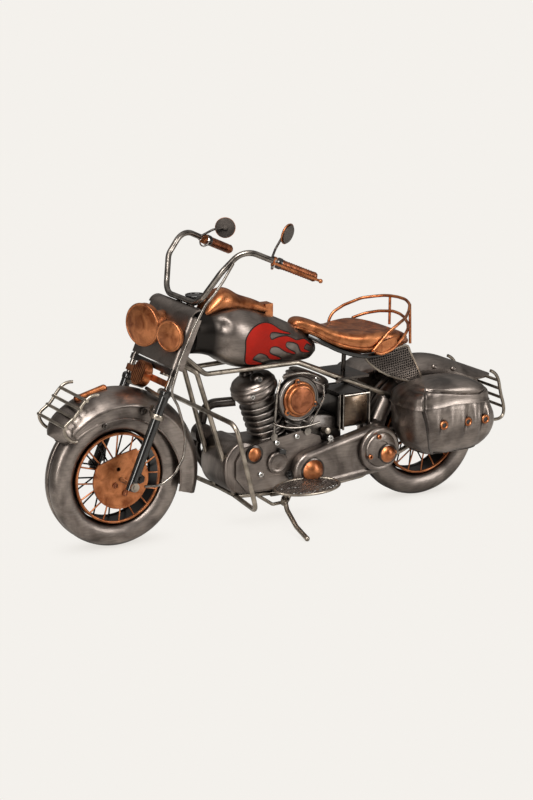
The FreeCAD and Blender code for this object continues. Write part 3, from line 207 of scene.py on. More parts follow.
FINISHES = [
    (STEEL, "crankcase", "crankcase_cover", "cylinders", "primary_cover", "clutch_cover", "filler_cap",
     "rear_fender", "saddlebags", "saddlebag_lids", "lamp_plate", "front_fender", "front_tyre", "rear_tyre",
     "fuel_tank", "rear_shocks", "footboards"),
    (DARK_STEEL, "cylinder_heads", "fork_yokes", "head_tube", "seat_post", "seat_mesh_panel",
     "exhaust_pipe", "oil_tank", "front_hub", "rear_hub", "mirrors"),
    (COPPER, "tank_console", "seat", "seat_rail", "air_cleaner_cover", "engine_domes", "bag_rings",
     "headlamp", "spot_lamps", "grille_lamp", "levers", "fender_ornament", "front_rim", "rear_rim",
     "front_spokes", "rear_spokes", "brake_disc"),
    (DARK_COPPER, "grips"),
    (ROD, "frame_tubes", "crash_bar", "rear_bumper", "front_bumper", "side_stand_leg", "front_axle",
     "rear_axle", "steering_stem"),
    (BAR_STEEL, "handlebar", "fork_tubes", "brake_cable", "pushrods_and_oil_lines"),
    (BLACK, "fork_legs", "air_cleaner_housing", "speedometer"),
    (BRIGHT, "engine_screws"),
]
for material, *names in FINISHES:
    for name in names:
        finish_node(name, material)


# ---- mesh helpers
def piece(name, points, faces, material, body="frame", slot="patinated_steel", thickness=0.0, split=35,
          bevel=0.0, replaces=None):
    """A new mesh in millimetres in the part's frame; it rides on a CAD body and may replace a CAD node."""
    mesh = bpy.data.meshes.new(name)
    mesh.from_pydata([tuple(c * MM for c in p) for p in points], [], faces)
    mesh.validate()
    mesh.materials.append(material)
    thing = bpy.data.objects.new(name, mesh)
    bpy.context.scene.collection.objects.link(thing)
    if thickness:
        sheet = thing.modifiers.new("sheet", "SOLIDIFY")
        sheet.thickness = thickness * MM
        sheet.offset = -1
    if bevel:
        soft_edges(thing, bevel)
    smooth_by_angle(thing, split)
    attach(thing, body)
    if replaces:
        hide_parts(replaces)


def join(parts):
    """Several (points, faces) sets as one."""
    points, faces = [], []
    for some_points, some_faces in parts:
        start = len(points)
        points += [Vector(p) for p in some_points]
        faces += [tuple(i + start for i in face) for face in some_faces]
    return points, faces


def both(part):
    """A part of the left side together with its mirror image on the right."""
    points, faces = part
    mirrored = [Vector((p[0], -p[1], p[2])) for p in points]
    return join([part, (mirrored, [tuple(reversed(face)) for face in faces])])


def curve(points, steps=6, closed=False):
    """Smooth path through the points."""
    points = [Vector(p) for p in points]
    count = len(points)
    spans = count if closed else count - 1
    path = []
    for i in range(spans):
        if closed:
            a, b, c, d = (points[(i + k) % count] for k in (-1, 0, 1, 2))
        else:
            b, c = points[i], points[i + 1]
            a = points[i - 1] if i else b * 2 - c
            d = points[i + 2] if i + 2 < count else c * 2 - b
        for s in range(steps):
            t = s / steps
            path.append(((b * 2) + (c - a) * t + (a * 2 - b * 5 + c * 4 - d) * t * t
                         + (b * 3 - a - c * 3 + d) * t * t * t) * 0.5)
    return path if closed else path + [points[-1]]


def flat_curve(outline, steps):
    """Smooth closed outline through flat points."""
    return [(p.x, p.y) for p in curve([(a, b, 0) for a, b in outline], steps, closed=True)]


def round_point(centre, radius, angle, y=0.0):
    """Point round an axis that runs across the object, at an angle above straight ahead."""
    a = radians(angle)
    return centre + Vector((radius * cos(a), y, radius * sin(a)))


def signed_power(value, power):
    return copysign(abs(value) ** power, value)


def line_along(table, x):
    """Straight-line value at x from a table of (x, value) pairs in rising order."""
    if x <= table[0][0]:
        return table[0][1]
    for (x0, v0), (x1, v1) in zip(table, table[1:]):
        if x <= x1:
            return v0 + (v1 - v0) * (x - x0) / (x1 - x0)
    return table[-1][1]


def grid(rows, close_rows=False, capped=False, looped=False):
    """Skin over rows of points.

    close_rows joins each row's end to its start, looped joins the last row to the first, and capped
    fills the first and the last row.
    """
    width = len(rows[0])
    points = [Vector(p) for row in rows for p in row]
    faces = []
    for i in range(len(rows) if looped else len(rows) - 1):
        j = (i + 1) % len(rows)
        for k in range(width if close_rows else width - 1):
            m = (k + 1) % width
            faces.append((i * width + k, i * width + m, j * width + m, j * width + k))
    if capped:
        faces.append(tuple(range(width - 1, -1, -1)))
        faces.append(tuple((len(rows) - 1) * width + k for k in range(width)))
    return points, faces


def solid(rows):
    """Closed skin round a stack of closed rows."""
    return grid(rows, close_rows=True, capped=True)


def circle(centre, side, up, radius, count):
    """Points round a circle that starts at side and turns towards up."""
    turns = [2 * pi * k / count for k in range(count)]
    return [centre + side * (radius * cos(turn)) + up * (radius * sin(turn)) for turn in turns]


def tube(path, radius, sides=10, closed=False):
    """Round rod along a path."""
    path = [Vector(p) for p in path]
    count = len(path)
    side = None
    rows = []
    for i, place in enumerate(path):
        ahead = path[(i + 1) % count] if closed or i + 1 < count else place
        behind = path[i - 1] if closed or i else place
        along = (ahead - behind).normalized()
        if side is None:
            side = along.orthogonal().normalized()
        else:
            side = (side - along * side.dot(along)).normalized()
        rows.append(circle(place, side, along.cross(side), radius, sides))
    return grid(rows, close_rows=True, capped=not closed, looped=closed)


def lathe(profile, origin, axis, segments):
    """Body of revolution from (distance along the axis, radius) pairs; zero radii close the ends."""
    axis = Vector(axis).normalized()
    side = axis.orthogonal().normalized()
    up = axis.cross(side)
    return solid([circle(Vector(origin) + axis * along, side, up, max(radius, 0.001), segments)
                  for along, radius in profile])


def clip_line(outline, start, along):
    """Stretches of a flat line that lie inside a closed outline, as pairs of distances."""
    hits = []
    count = len(outline)
    normal = (-along[1], along[0])
    offset = start[0] * normal[0] + start[1] * normal[1]
    for i in range(count):
        (x0, z0), (x1, z1) = outline[i], outline[(i + 1) % count]
        d0 = x0 * normal[0] + z0 * normal[1] - offset
        d1 = x1 * normal[0] + z1 * normal[1] - offset
        if (d0 > 0) != (d1 > 0):
            t = d0 / (d0 - d1)
            x, z = x0 + (x1 - x0) * t, z0 + (z1 - z0) * t
            hits.append((x - start[0]) * along[0] + (z - start[1]) * along[1])
    hits.sort()
    return list(zip(hits[::2], hits[1::2]))


def lattice(outline, pitch, angles, place, radius, wave=0.3):
    """Woven diamond mesh of thin strands filling a flat outline; place lifts (a, b, height) to 3-D."""
    parts = []
    centre = (sum(p[0] for p in outline) / len(outline), sum(p[1] for p in outline) / len(outline))
    for turn, angle in enumerate(angles):
        along = (cos(radians(angle)), sin(radians(angle)))
        for i in range(-40, 41):
            start = (centre[0] - along[1] * i * pitch, centre[1] + along[0] * i * pitch)
            for low, high in clip_line(outline, start, along):
                steps = max(2, int((high - low) / (pitch * 0.9)))
                path = []
                for s in range(steps + 1):
                    t = low + (high - low) * s / steps
                    lift = wave * (1 if (s + i + turn) % 2 else -1)
                    path.append(place(start[0] + along[0] * t, start[1] + along[1] * t, lift))
                parts.append(tube(path, radius, 4))
    return join(parts)


# ---- fuel tank and its flame
# Stations along the tank: x, height of the middle, half width, half height.
TANK = [
    (-33.5, 119.0, 3.0, 3.4), (-27.0, 121.0, 8.6, 9.2), (-14.5, 124.7, 12.6, 13.2),
    (1.7, 128.7, 16.6, 17.0), (19.9, 132.2, 20.2, 20.6), (32.0, 134.6, 21.8, 21.4),
    (43.0, 137.0, 20.6, 19.2), (50.0, 138.6, 16.6, 16.4), (58.0, 139.6, 14.8, 14.8),
    (66.0, 140.0, 14.2, 14.2),
]


def smooth_table(table, x):
    """Value at x on a smooth curve through a table of (x, value) pairs in rising order."""
    i = next((k for k in range(len(table) - 2) if x < table[k + 1][0]), len(table) - 2)
    p = [table[max(0, min(len(table) - 1, i + k))] for k in (-1, 0, 1, 2)]
    span = p[2][0] - p[1][0]
    t = (x - p[1][0]) / span
    m1 = (p[2][1] - p[0][1]) / (p[2][0] - p[0][0]) * span
    m2 = (p[3][1] - p[1][1]) / (p[3][0] - p[1][0]) * span
    return ((2 * t ** 3 - 3 * t ** 2 + 1) * p[1][1] + (t ** 3 - 2 * t ** 2 + t) * m1
            + (3 * t ** 2 - 2 * t ** 3) * p[2][1] + (t ** 3 - t ** 2) * m2)


TANK_MIDDLE = [(x, z) for x, z, w, h in TANK]
TANK_WIDE = [(x, w) for x, z, w, h in TANK]
TANK_TALL = [(x, h) for x, z, w, h in TANK]
TANK_REAR = TANK[0][0]
TANK_LENGTH = TANK[-1][0] - TANK_REAR
ROUNDNESS = 0.9
# Pressed hollows beside the tank's nose: x, z, size, depth.
DIMPLES = [(46.5, 145.5, 4.2, 2.0), (46.0, 129.5, 4.8, 2.4)]


def tank_point(x, angle, lift=0.0):
    """Point on the tank's skin; angle 0 is the widest line, 90 the spine."""
    half_width = smooth_table(TANK_WIDE, x) + lift
    half_height = smooth_table(TANK_TALL, x) + lift
    a = radians(angle)
    y = half_width * signed_power(cos(a), ROUNDNESS)
    z = smooth_table(TANK_MIDDLE, x) + half_height * signed_power(sin(a), ROUNDNESS)
    depth = 0.0
    for dx, dz, size, deep in DIMPLES:
        depth += deep * exp(-((x - dx) ** 2 + (z - dz) ** 2) / size ** 2 * 1.6)
    return Vector((x, y - copysign(depth, y) * min(1, abs(y) / 6), z))


# The steering axis: its lean, its foot, the direction ahead of it and the direction up it.
RAKE = radians(23)
STEER_BASE = Vector((112.374, 0, 43.702))
LEAD = Vector((cos(RAKE), 0, sin(RAKE)))
UP = Vector((-sin(RAKE), 0, cos(RAKE)))
NOSE_LEAD = -4.2


def behind_stem(p):
    """Keeps a point behind the plane in which the handlebar's foot turns."""
    ahead = (p - STEER_BASE).dot(LEAD) - NOSE_LEAD
    return p - LEAD * ahead if ahead > 0 else p


def tank_skin():
    """The tank's shell; the rows stand closer together at its pointed rear end."""
    rows = []
    steps, around, tail, crowding = 72, 64, 0.3, 1.25
    for i in range(steps + 1):
        s = i / steps
        start = tail ** crowding
        share = s ** crowding if s < tail else start + (s - tail) / (1 - tail) * (1 - start)
        x = TANK_REAR + TANK_LENGTH * share
        rows.append([behind_stem(tank_point(x, 360 * k / around)) for k in range(around)])
    return solid(rows)


FLAME = [
    (32.6, 131.0), (32.0, 137.0), (26.5, 142.2), (17.2, 144.2), (9.2, 142.4), (1.5, 137.4), (-7.0, 134.0),
    (1.5, 135.8), (6.6, 137.2), (11.0, 137.6), (12.6, 135.2), (10.8, 132.6), (4.6, 133.4), (-3.8, 132.6),
    (-11.6, 128.8), (-19.6, 128.2), (-26.0, 123.0), (-21.8, 125.2), (-18.8, 122.0), (-24.4, 118.8),
    (-16.6, 120.4), (-12.6, 126.4), (-3.2, 129.4), (-2.2, 125.4), (-11.6, 119.6), (-3.0, 122.2),
    (5.4, 127.2), (11.4, 127.6), (11.8, 123.2), (0.6, 117.6), (9.6, 118.6), (15.0, 122.8), (21.8, 124.8),
    (25.6, 120.6), (15.2, 115.6), (26.6, 116.8), (31.2, 121.2),
]


def inside(outline, x, z):
    """Whether a flat point lies inside a closed outline."""
    odd = False
    for (x0, z0), (x1, z1) in zip(outline, outline[1:] + outline[:1]):
        if (z0 > z) != (z1 > z) and x < x0 + (x1 - x0) * (z - z0) / (z1 - z0):
            odd = not odd
    return odd


def on_tank(x, z, side, lift):
    """Point on the tank's skin straight out sideways from (x, z)."""
    share = (z - smooth_table(TANK_MIDDLE, x)) / smooth_table(TANK_TALL, x)
    share = max(-0.97, min(0.97, share))  # keeps off the spine and the keel
    angle = degrees(asin(signed_power(share, 1 / ROUNDNESS)))
    spot = tank_point(x, angle, lift)
    return Vector((spot.x, side * spot.y, spot.z))


def grown(outline, by):
    """Closed anticlockwise outline moved outwards by a distance."""
    count = len(outline)
    moved = []
    for i in range(count):
        a, b, c = (Vector((*outline[(i + k) % count], 0)) for k in (-1, 0, 1))
        n1 = Vector((0, 0, 1)).cross((b - a).normalized())
        n2 = Vector((0, 0, 1)).cross((c - b).normalized())
        n = n1 + n2
        n = n / max(0.5, n.length_squared / 2)
        moved.append((b.x - n.x * by, b.y - n.y * by))
    return moved


def flame_skin(outline, side, lift, pitch=1.6):
    """Thin enamel skin filling an outline on the tank's side."""
    spots = [Vector(p) for p in outline]
    edges = [(i, (i + 1) % len(outline)) for i in range(len(outline))]
    xs, zs = [p[0] for p in outline], [p[1] for p in outline]
    x = min(xs)
    while x < max(xs):
        z = min(zs)
        while z < max(zs):
            if inside(outline, x, z):
                spots.append(Vector((x, z)))
            z += pitch
        x += pitch
    flat, _, faces, *_ = delaunay_2d_cdt(spots, edges, [], 1, 1e-4)
    points = [on_tank(p.x, p.y, side, lift) for p in flat]
    kept = []
    for face in faces:
        middle = sum((flat[i] for i in face), Vector((0, 0))) / len(face)
        if inside(outline, middle.x, middle.y):
            kept.append(tuple(face) if side > 0 else tuple(reversed(face)))
    return points, kept


def enamel(name, colour, deep):
    """Thick hand-painted enamel with faint colour drift."""
    material, tree, shader = new_material(name)
    drift = noise_field(tree, 70.0, 3.0)
    tree.links.new(ramp(tree, drift, [(0.3, deep), (0.65, colour)]), shader.inputs["Base Color"])
    shader.inputs["Roughness"].default_value = 0.55
    shader.inputs["Specular IOR Level"].default_value = 0.15
    shader.inputs["Coat Weight"].default_value = 0.03
    ripple = noise_field(tree, 180.0, 2.0)
    bump = add(tree, "ShaderNodeBump", Height=ripple, Strength=0.12, Distance=0.0004)
    tree.links.new(bump.outputs[0], shader.inputs["Normal"])
    return material


RED_ENAMEL = enamel("red_enamel", (0.34, 0.0095, 0.0032), (0.24, 0.007, 0.0026))
LINE_ENAMEL = enamel("black_enamel", (0.012, 0.011, 0.010), (0.02, 0.018, 0.016))

SHADOW = (0.022, 0.019, 0.017)
# painted shade: the tank's nose darkens to near black forward of x = 45.5 mm
TANK_STEEL = shaded_along(STEEL, "tank_steel", "X", 0.0535, 0.0455, SHADOW)
piece("fuel_tank_shell", *tank_skin(), TANK_STEEL, split=50, replaces="fuel_tank")
flame = flat_curve(FLAME, 4)
if sum(a[0] * b[1] - b[0] * a[1] for a, b in zip(flame, flame[1:] + flame[:1])) < 0:
    flame.reverse()
LINE_WIDTH, LINE_LIFT, RED_LIFT = 0.75, 0.22, 0.36
line = grown(flame, LINE_WIDTH)
line_parts = [flame_skin(line, side, LINE_LIFT) for side in (1, -1)]
red_parts = [flame_skin(flame, side, RED_LIFT) for side in (1, -1)]
piece("tank_flame_outline", *join(line_parts), LINE_ENAMEL, "frame", "black_lacquer", split=60)
piece("tank_flame", *join(red_parts), RED_ENAMEL, "frame", "copper_plate", split=60)

# ---- front fender
AXLE_FRONT = Vector((122.5, 0, 48.0))
AXLE_REAR = Vector((-122.5, 0, 48.0))


# Crown of the fender: drop below the top, distance from the middle.
FENDER_CROWN = [(0.0, 0.0), (0.25, 3.0), (0.9, 6.0), (2.0, 9.0), (3.7, 11.8), (5.8, 14.0), (7.6, 15.3),
                (8.6, 16.4), (9.4, 16.6), (10.2, 16.1), (11.0, 16.0)]
FENDER_RADIUS = 61.0
FENDER_NOSE, NOSE_SWEEP = 36.0, 15.0
FENDER_SPREAD = 18.0 / 16.6
# Radius of the skirt's lower edge at angles round the wheel.
SKIRT = [(36, 48.0), (50, 47.4), (75, 44.0), (110, 42.5), (150, 41.0), (200, 43.0)]


def front_fender_rows():
    rows = []
    for step in range(80):
        angle = FENDER_NOSE + step * 2.04
        nose = min(1.0, max(0.0, (angle - FENDER_NOSE) / NOSE_SWEEP))
        spread = (0.30 + 0.70 * sqrt(1 - (1 - nose) ** 2)) * FENDER_SPREAD
        crown = FENDER_RADIUS - 2.4 * (1 - nose) ** 2
        skirt = line_along(SKIRT, angle)
        half = [(crown - drop, y * spread) for drop, y in FENDER_CROWN]
        depth, edge = half[-1]
        for share in (0.12, 0.3, 0.5, 0.7, 0.86):
            half.append((depth + (skirt - depth) * share, edge + 0.25 * sin(share * pi)))
        for rise, out in ((0.7, 0.1), (0.2, 0.8), (-0.4, 0.9), (-0.8, 0.2)):
            half.append((skirt + rise, edge + out))
        row = [round_point(AXLE_FRONT, r, angle, -y) for r, y in reversed(half[1:])]
        row += [round_point(AXLE_FRONT, r, angle, y) for r, y in half]
        rows.append(row)
    return rows


piece("front_fender_shell", *grid(front_fender_rows()), STEEL, "fork", thickness=0.8, split=40,
      replaces="front_fender")
LOWER_STAY = [(100.9, 17.0, 97.0), (105.4, 22.0, 95.0), (105.6, 27.5, 94.4)]
UPPER_STAY = [(98.6, 3.0, 106.0), (98.7, 15.0, 105.2), (98.7, 27.5, 104.6)]
stay_parts = []
for side in (-1, 1):
    for stay, radius in ((LOWER_STAY, 1.2), (UPPER_STAY, 1.3)):
        stay_parts.append(tube([(x, side * y, z) for x, y, z in stay], radius, 10))
piece("fender_stays", *join(stay_parts), ROD, "fork", "bare_rod")


# ---- saddlebags
BAG_PLAN = [(-152, 20), (-94, 20), (-85.5, 25), (-83.2, 35), (-84.2, 46), (-87.5, 54.6), (-96, 57.4),
            (-124, 58.6), (-142, 57.6), (-153, 53), (-157.5, 42), (-157, 28)]
BAG_INNER_Y = 20
BAG_REAR_X = -157.5
BAG_PLAN_LENGTH, BAG_PLAN_WIDTH = 74.0, 38.4
# Straps over the outer face: x, half width, pull.
STRAPS = [(-106.5, 2.6, 2.2), (-127.0, 2.4, 2.4), (-141.0, 2.0, 2.2)]
STRAP_Z = 66
# Levels of the bag: z, front x, rear x, outer y.
BAG_LEVELS = [
    (43.3, -106, -136, 42), (43.5, -101, -140, 47), (44.4, -97, -144, 50.5), (46.2, -93.5, -147.5, 53),
    (49.5, -90.5, -151.5, 55), (53, -88, -154.5, 56.4), (57, -86, -156.6, 57.3), (61, -84.4, -157.6, 58),
    (65, -83.4, -157.6, 58.4), (69, -83, -156.8, 58.3), (73, -82.8, -155, 58),
    (76.5, -82.8, -153.4, 57.6), (80, -82.8, -152, 57),
]


def seam_x(z):
    """Where the seam between the bag's front and outer faces stands at a height."""
    return -88.5 - max(0.0, 78.6 - z) * 0.24 - 9.0 * exp(-(z - 43) / 3.0)


def bag_ring(z, front, rear, outer):
    """One level of the bag: the rounded plan stretched between its front, rear and outer faces."""
    ring = []
    for along, across in flat_curve(BAG_PLAN, 20):
        x = rear + (front - rear) * (along - BAG_REAR_X) / BAG_PLAN_LENGTH
        y = BAG_INNER_Y + (across - BAG_INNER_Y) * (outer - BAG_INNER_Y) / BAG_PLAN_WIDTH
        if across > 40:
            edge = x - seam_x(z)
            y += 1.1 * exp(-(edge / 1.5) ** 2) - 1.0 * exp(-((edge + 4.0) / 2.4) ** 2)
        ring.append(Vector((x, y, z)))
    return ring


def strap_dent(p):
    """How far a strap pulls the outer face in at a point; the cloth swells on both sides of it."""
    if p.y < 46:
        return 0.0
    depth = 0.0
    for at, wide, deep in STRAPS:
        rise = p.z - STRAP_Z
        across = (p.x - at + 0.12 * rise) / wide
        pull = deep * (0.35 + 0.65 * exp(-(rise / 6.0) ** 2)) * exp(-(rise / 15.0) ** 4)
        depth += pull * (exp(-across ** 2) - 0.45 * exp(-(abs(across) - 2.2) ** 2))
    return depth


def bag_level(z):
    """The bag's outline at a height."""
    return bag_ring(z, *(line_along([(level[0], level[i]) for level in BAG_LEVELS], z) for i in (1, 2, 3)))


def bag_body():
    rows = []
    floor_z, rim_z, steps = BAG_LEVELS[0][0], BAG_LEVELS[-1][0], 48
    for k in range(steps + 1):
        ring = bag_level(floor_z + (rim_z - floor_z) * (k / steps) ** 1.15)
        for p in ring:
            p.y -= strap_dent(p)
        rows.append(ring)
    return solid(rows)


# The lid along the bag: x with the height of its top, of its lower edge and of its pressed crease.
LID_HEIGHT = [(-153, 84.5), (-148, 88.6), (-142, 91.8), (-132, 94.6), (-113, 95.8), (-97, 94), (-88, 91),
              (-83, 87.5)]
LID_EDGE = [(-153, 79.2), (-143, 79.5), (-128, 80.8), (-114, 81.2), (-100, 79.8), (-86, 79.4), (-82, 79.4)]
LID_CREASE = [(-147, 88.6), (-143, 87.2), (-137, 85.8), (-120, 87.6), (-104, 90.4), (-94, 91.6),
              (-88, 90.6)]
LID_RIDGE = (-134, -104, 38.5)
LIP_OUT, LIP_DROP = (0.2, 1.0, 1.1, 0.7), (0.0, -0.7, -0.1, 0.4)


def lid_groove(x, y, z):
    """Depth of the pressed crease, which runs across the outer half of the lid."""
    if y <= 39:
        return 0.0
    return 1.5 * exp(-((z - line_along(LID_CREASE, x)) / 0.7) ** 2) * min(1, (y - 39) / 8)


def bag_lid():
    """The lid: a rolled lip of three rows, then rows that close over the ridge."""
    plan = bag_ring(80, -82.6, -151.6, 58.2)
    rear, front, ridge_y = LID_RIDGE
    rows = []
    for k in range(46):
        t = max(0.0, (k - 3) / 42)
        closing = (1 - cos(pi / 2 * t)) ** 1.9
        lip = LIP_OUT[k] if k < 4 else LIP_OUT[-1] * exp(-(k - 3) / 2.0)
        drop = LIP_DROP[min(k, 3)]
        row = []
        for p in plan:
            middle = Vector((min(front, max(rear, p.x)), ridge_y, 0))
            q = middle + (Vector((p.x, p.y, 0)) - middle) * (1 - 0.985 * closing)
            low, high = line_along(LID_EDGE, q.x), smooth_table(LID_HEIGHT, q.x)
            z = low + (high - low) * sin(pi / 2 * t) ** 0.75
            away = Vector((p.x - middle.x, p.y - ridge_y, 0)).normalized()
            groove = lid_groove(q.x, q.y, z)
            q += away * (lip - 0.8 * groove)
            row.append(Vector((q.x, max(q.y, BAG_INNER_Y - 0.2), z + drop - 0.5 * groove)))
        rows.append(row)
    return solid(rows)


piece("saddlebag_bodies", *both(bag_body()), STEEL, split=70, replaces="saddlebags")
piece("saddlebag_covers", *both(bag_lid()), STEEL, split=60, replaces="saddlebag_lids")

seam_path = []
for z in (78.6, 74, 70, 66, 62, 58, 54, 50, 47, 45):
    aim = seam_x(z)
    seam_path.append(min((p for p in bag_level(z) if p.y > 44), key=lambda p: abs(p.x - aim)))
hem_path = [p for p in bag_ring(44.6, -96.5, -144.5, 50.8) if p.y > 30]
piece("bag_corner_seams", *both(tube(curve(seam_path, 4), 0.5, 8)), DARK_STEEL)
piece("bag_bottom_hems", *both(tube(hem_path, 0.7, 8)), DARK_STEEL)

# A round, an eight-sided and a round concho hold the three straps.
CONCHO = [(0, 2.2), (0, 3.2), (1.4, 3.3), (2.0, 2.9), (2.1, 2.2), (1.6, 1.7), (0.4, 1.5)]
ring_parts, plug_parts = [], []
for at, facets in ((-106.5, 28), (-127.0, 8), (-142.0, 28)):
    for side in (-1, 1):
        hub, axis = (at, side * 56.8, 66.4), (0, side, 0)
        ring_parts.append(lathe(CONCHO, hub, axis, facets))
        plug_parts.append(lathe([(0, 0), (0, 1.8), (1.2, 1.7), (1.4, 0)], hub, axis, 16))
piece("bag_conchos", *join(ring_parts), COPPER, "frame", "copper_plate", replaces="bag_rings")
piece("bag_concho_plugs", *join(plug_parts), BLACK, "frame", "black_lacquer")

# ---- seat
# The seat along its length: x with its half width, the height of its top and of its underside.
SEAT_WIDE = [(-105.6, 1.0), (-104.5, 9.0), (-101, 17.0), (-96, 23.5), (-90, 27.5), (-82, 29.8),
             (-70, 29.4), (-60, 27.4), (-50, 22.4), (-40, 15.8), (-30, 11.2), (-22, 9.2), (-16.5, 6.2),
             (-14, 3.0), (-13, 0.6)]
SEAT_TOP = [(-105.6, 120.6), (-100, 125.6), (-94, 128.8), (-84, 132.0), (-76, 133.2), (-66, 133.0),
            (-54, 132.2), (-42, 134.2), (-30, 139.4), (-22, 141.8), (-17, 141.4), (-14, 139.2),
            (-13, 137.4)]
SEAT_LOW = [(-105.6, 119.4), (-96, 116.6), (-84, 115.4), (-64, 113.6), (-52, 115.2), (-42, 118.8),
            (-30, 126.0), (-20, 131.2), (-15, 134.2), (-13, 136.6)]
SEAT_MIDDLE_X, SEAT_HALF_LENGTH = -59.3, 46.3
DISH_X, DISH_DEPTH, EDGE_RISE = -74, 3.4, 1.3
SEAT_CORNER = 0.72


def seat_skin():
    """Saddle with a dished rear half and raised edges."""
    rows = []
    steps, around = 59, 40
    for i in range(steps + 1):
        x = SEAT_MIDDLE_X - SEAT_HALF_LENGTH * cos(pi * i / steps)
        wide, top, low = (smooth_table(t, x) for t in (SEAT_WIDE, SEAT_TOP, SEAT_LOW))
        middle, tall = (top + low) / 2, max(0.3, (top - low) / 2)
        row = []
        for k in range(around):
            a = 2 * pi * k / around
            across, up = cos(a), sin(a)
            y = wide * signed_power(across, SEAT_CORNER)
            z = middle + tall * signed_power(up, SEAT_CORNER)
            if up > 0:
                share = abs(y / max(wide, 0.5))
                z -= DISH_DEPTH * exp(-((x - DISH_X) / 20.0) ** 2) * (1 - share ** 2) * up
                z += EDGE_RISE * exp(-((x - DISH_X) / 22.0) ** 2) * share ** 3
            row.append((x, y, z))
        rows.append(row)
    return solid(rows)


piece("seat_pan", *seat_skin(), COPPER, "frame", "copper_plate", split=60, replaces="seat")
edge = []
for x in (-13.5, -16.5, -22, -30, -40, -50, -60, -70, -82, -90, -96, -101, -104.6):
    height = smooth_table(SEAT_TOP, x) * 0.35 + smooth_table(SEAT_LOW, x) * 0.65
    edge.append((x, smooth_table(SEAT_WIDE, x) + 0.15, height))
edge_path = curve(edge + [(-105.8, 0, 121.6)], 5)
edge_path += [Vector((p.x, -p.y, p.z)) for p in reversed(edge_path[1:-1])]
piece("seat_edge_bead", *tube(edge_path, 0.8, 8, closed=True), COPPER, "frame", "copper_plate")

under = []
for side in (-1, 1):
    rail_points = [(x, side * (smooth_table(SEAT_WIDE, x) - 1.2), smooth_table(SEAT_LOW, x) + 1.0)
                   for x in (-24, -30, -36, -44, -52, -60, -68, -76)]
    under.append(tube(curve(rail_points, 4), 1.5, 8))
under.append(tube([(-59.8, -20, 114.6), (-59.8, 20, 114.6)], 1.3, 8))
piece("seat_under_frame", *join(under), BLACK, "frame", "black_lacquer")

# ---- woven side curtain
CURTAIN = [(-62.5, 115.0), (-62.5, 111.0), (-72.0, 103.0), (-83.5, 97.2), (-98.5, 92.4), (-104.0, 92.6),
           (-106.2, 96.0), (-103.0, 103.0), (-97.0, 113.0), (-92.5, 119.5), (-78.0, 117.0)]


def curtain_place(x, z, lift):
    """Point on the curtain, which bulges outwards along its length."""
    along = x + 84
    return (x, 28.2 - 0.05 * along - 0.0035 * along ** 2 + lift, z)


outline = flat_curve(CURTAIN, 4)
piece("curtain_weave", *lattice(outline, 1.75, (82, -8), curtain_place, 0.34), STEEL, split=80,
      replaces="seat_mesh_panel")
backing = [curtain_place(x, z, -0.9) for x, z in outline]
piece("curtain_backing", backing, [tuple(range(len(backing)))], DARK_STEEL, thickness=0.3)
rim_path = [curtain_place(x, z, 0) for x, z in outline]
piece("curtain_rim", *tube(rim_path, 0.85, 8, closed=True), ROD, "frame", "bare_rod")

# ---- footboards
BOARD_X, BOARD_Y, BOARD_Z = -6.0, 39.5, 31.7
BOARD_LONG, BOARD_WIDE, BOARD_TIP = 25.0, 12.5, 0.14
ARM = [(14.5, 20.8), (30.0, 26.5), (38.0, 30.6)]
OVAL = []
for angle in range(0, 360, 8):
    a = radians(angle)
    OVAL.append((BOARD_X + BOARD_LONG * cos(a), BOARD_Y + BOARD_WIDE * sin(a)))


def on_board(side):
    """Function that puts a flat point on one side's tread, which is tipped outwards."""
    return lambda x, y, lift=0.0: (x, side * y, BOARD_Z - BOARD_TIP * (y - BOARD_Y) + lift)


board_parts, board_rims = [], []
for side in (-1, 1):
    place = on_board(side)
    board_parts.append(lattice(OVAL, 1.7, (35, -35), place, 0.36))
    board_rims.append(tube([place(x, y) for x, y in OVAL], 1.0, 10, closed=True))
    for x in (-16.0, 8.0):
        board_rims.append(tube(curve([(x, side * y, z) for y, z in ARM], 5), 1.2, 8))
piece("footboard_weave", *join(board_parts), STEEL, split=80, replaces="footboards")
piece("footboard_rims", *join(board_rims), ROD, "frame", "bare_rod")


# ---- engine
CRANK = Vector((-5.0, 0, 40.0))
LEAN = radians(19.0)


def flat_disc_profile(start, radius, height, soft=0.5):
    """Profile of a plain turned disc with a softened rim."""
    end = start + height
    return [(start, 0), (start, radius), (end - soft, radius), (end - soft * 0.3, radius - soft * 0.3),
            (end, radius - soft), (end, 0)]


REAR_EXTRA_LEAN = radians(4.0)
VALLEY_GAP = 0.3


def leaning(profile, side):
    """Turned body on a cylinder's axis, cut flat at the valley between the two cylinders."""
    lean = LEAN if side > 0 else LEAN + REAR_EXTRA_LEAN
    points, faces = lathe(profile, CRANK, (side * sin(lean), 0, cos(lean)), 64)
    for p in points:
        if side * (p.x - CRANK.x) < VALLEY_GAP:
            p.x = CRANK.x + side * VALLEY_GAP
    return points, faces


# Profiles of a barrel and of its head: distance from the crank, radius.
BARREL = [(14, 0), (14, 10.4), (19.0, 10.4), (19.2, 14.6), (20.4, 15.2), (21.6, 14.6), (22.0, 11.0)]
FIN_PITCH = 4.6
for number in range(6):
    low = 23.5 + number * FIN_PITCH
    BARREL += [(low, 11.4), (low + 0.05, 13.6), (low + 0.35, 13.9), (low + 1.15, 13.9), (low + 1.45, 13.6),
               (low + 1.5, 11.4)]
BARREL += [(52.5, 11.0), (52.5, 0)]
HEAD = [(51.6, 0), (51.6, 12.4), (52.2, 13.8), (53.4, 14.4), (54.2, 13.9), (54.8, 15.2), (56.4, 16.6),
        (58.6, 16.8), (59.6, 15.8), (60.2, 15.6), (60.8, 16.3), (62.2, 16.2), (63.0, 14.8), (63.5, 14.5),
        (64.2, 15.0), (65.4, 14.2), (66.4, 12.6), (67.0, 10.6), (67.3, 8.0), (67.5, 0)]
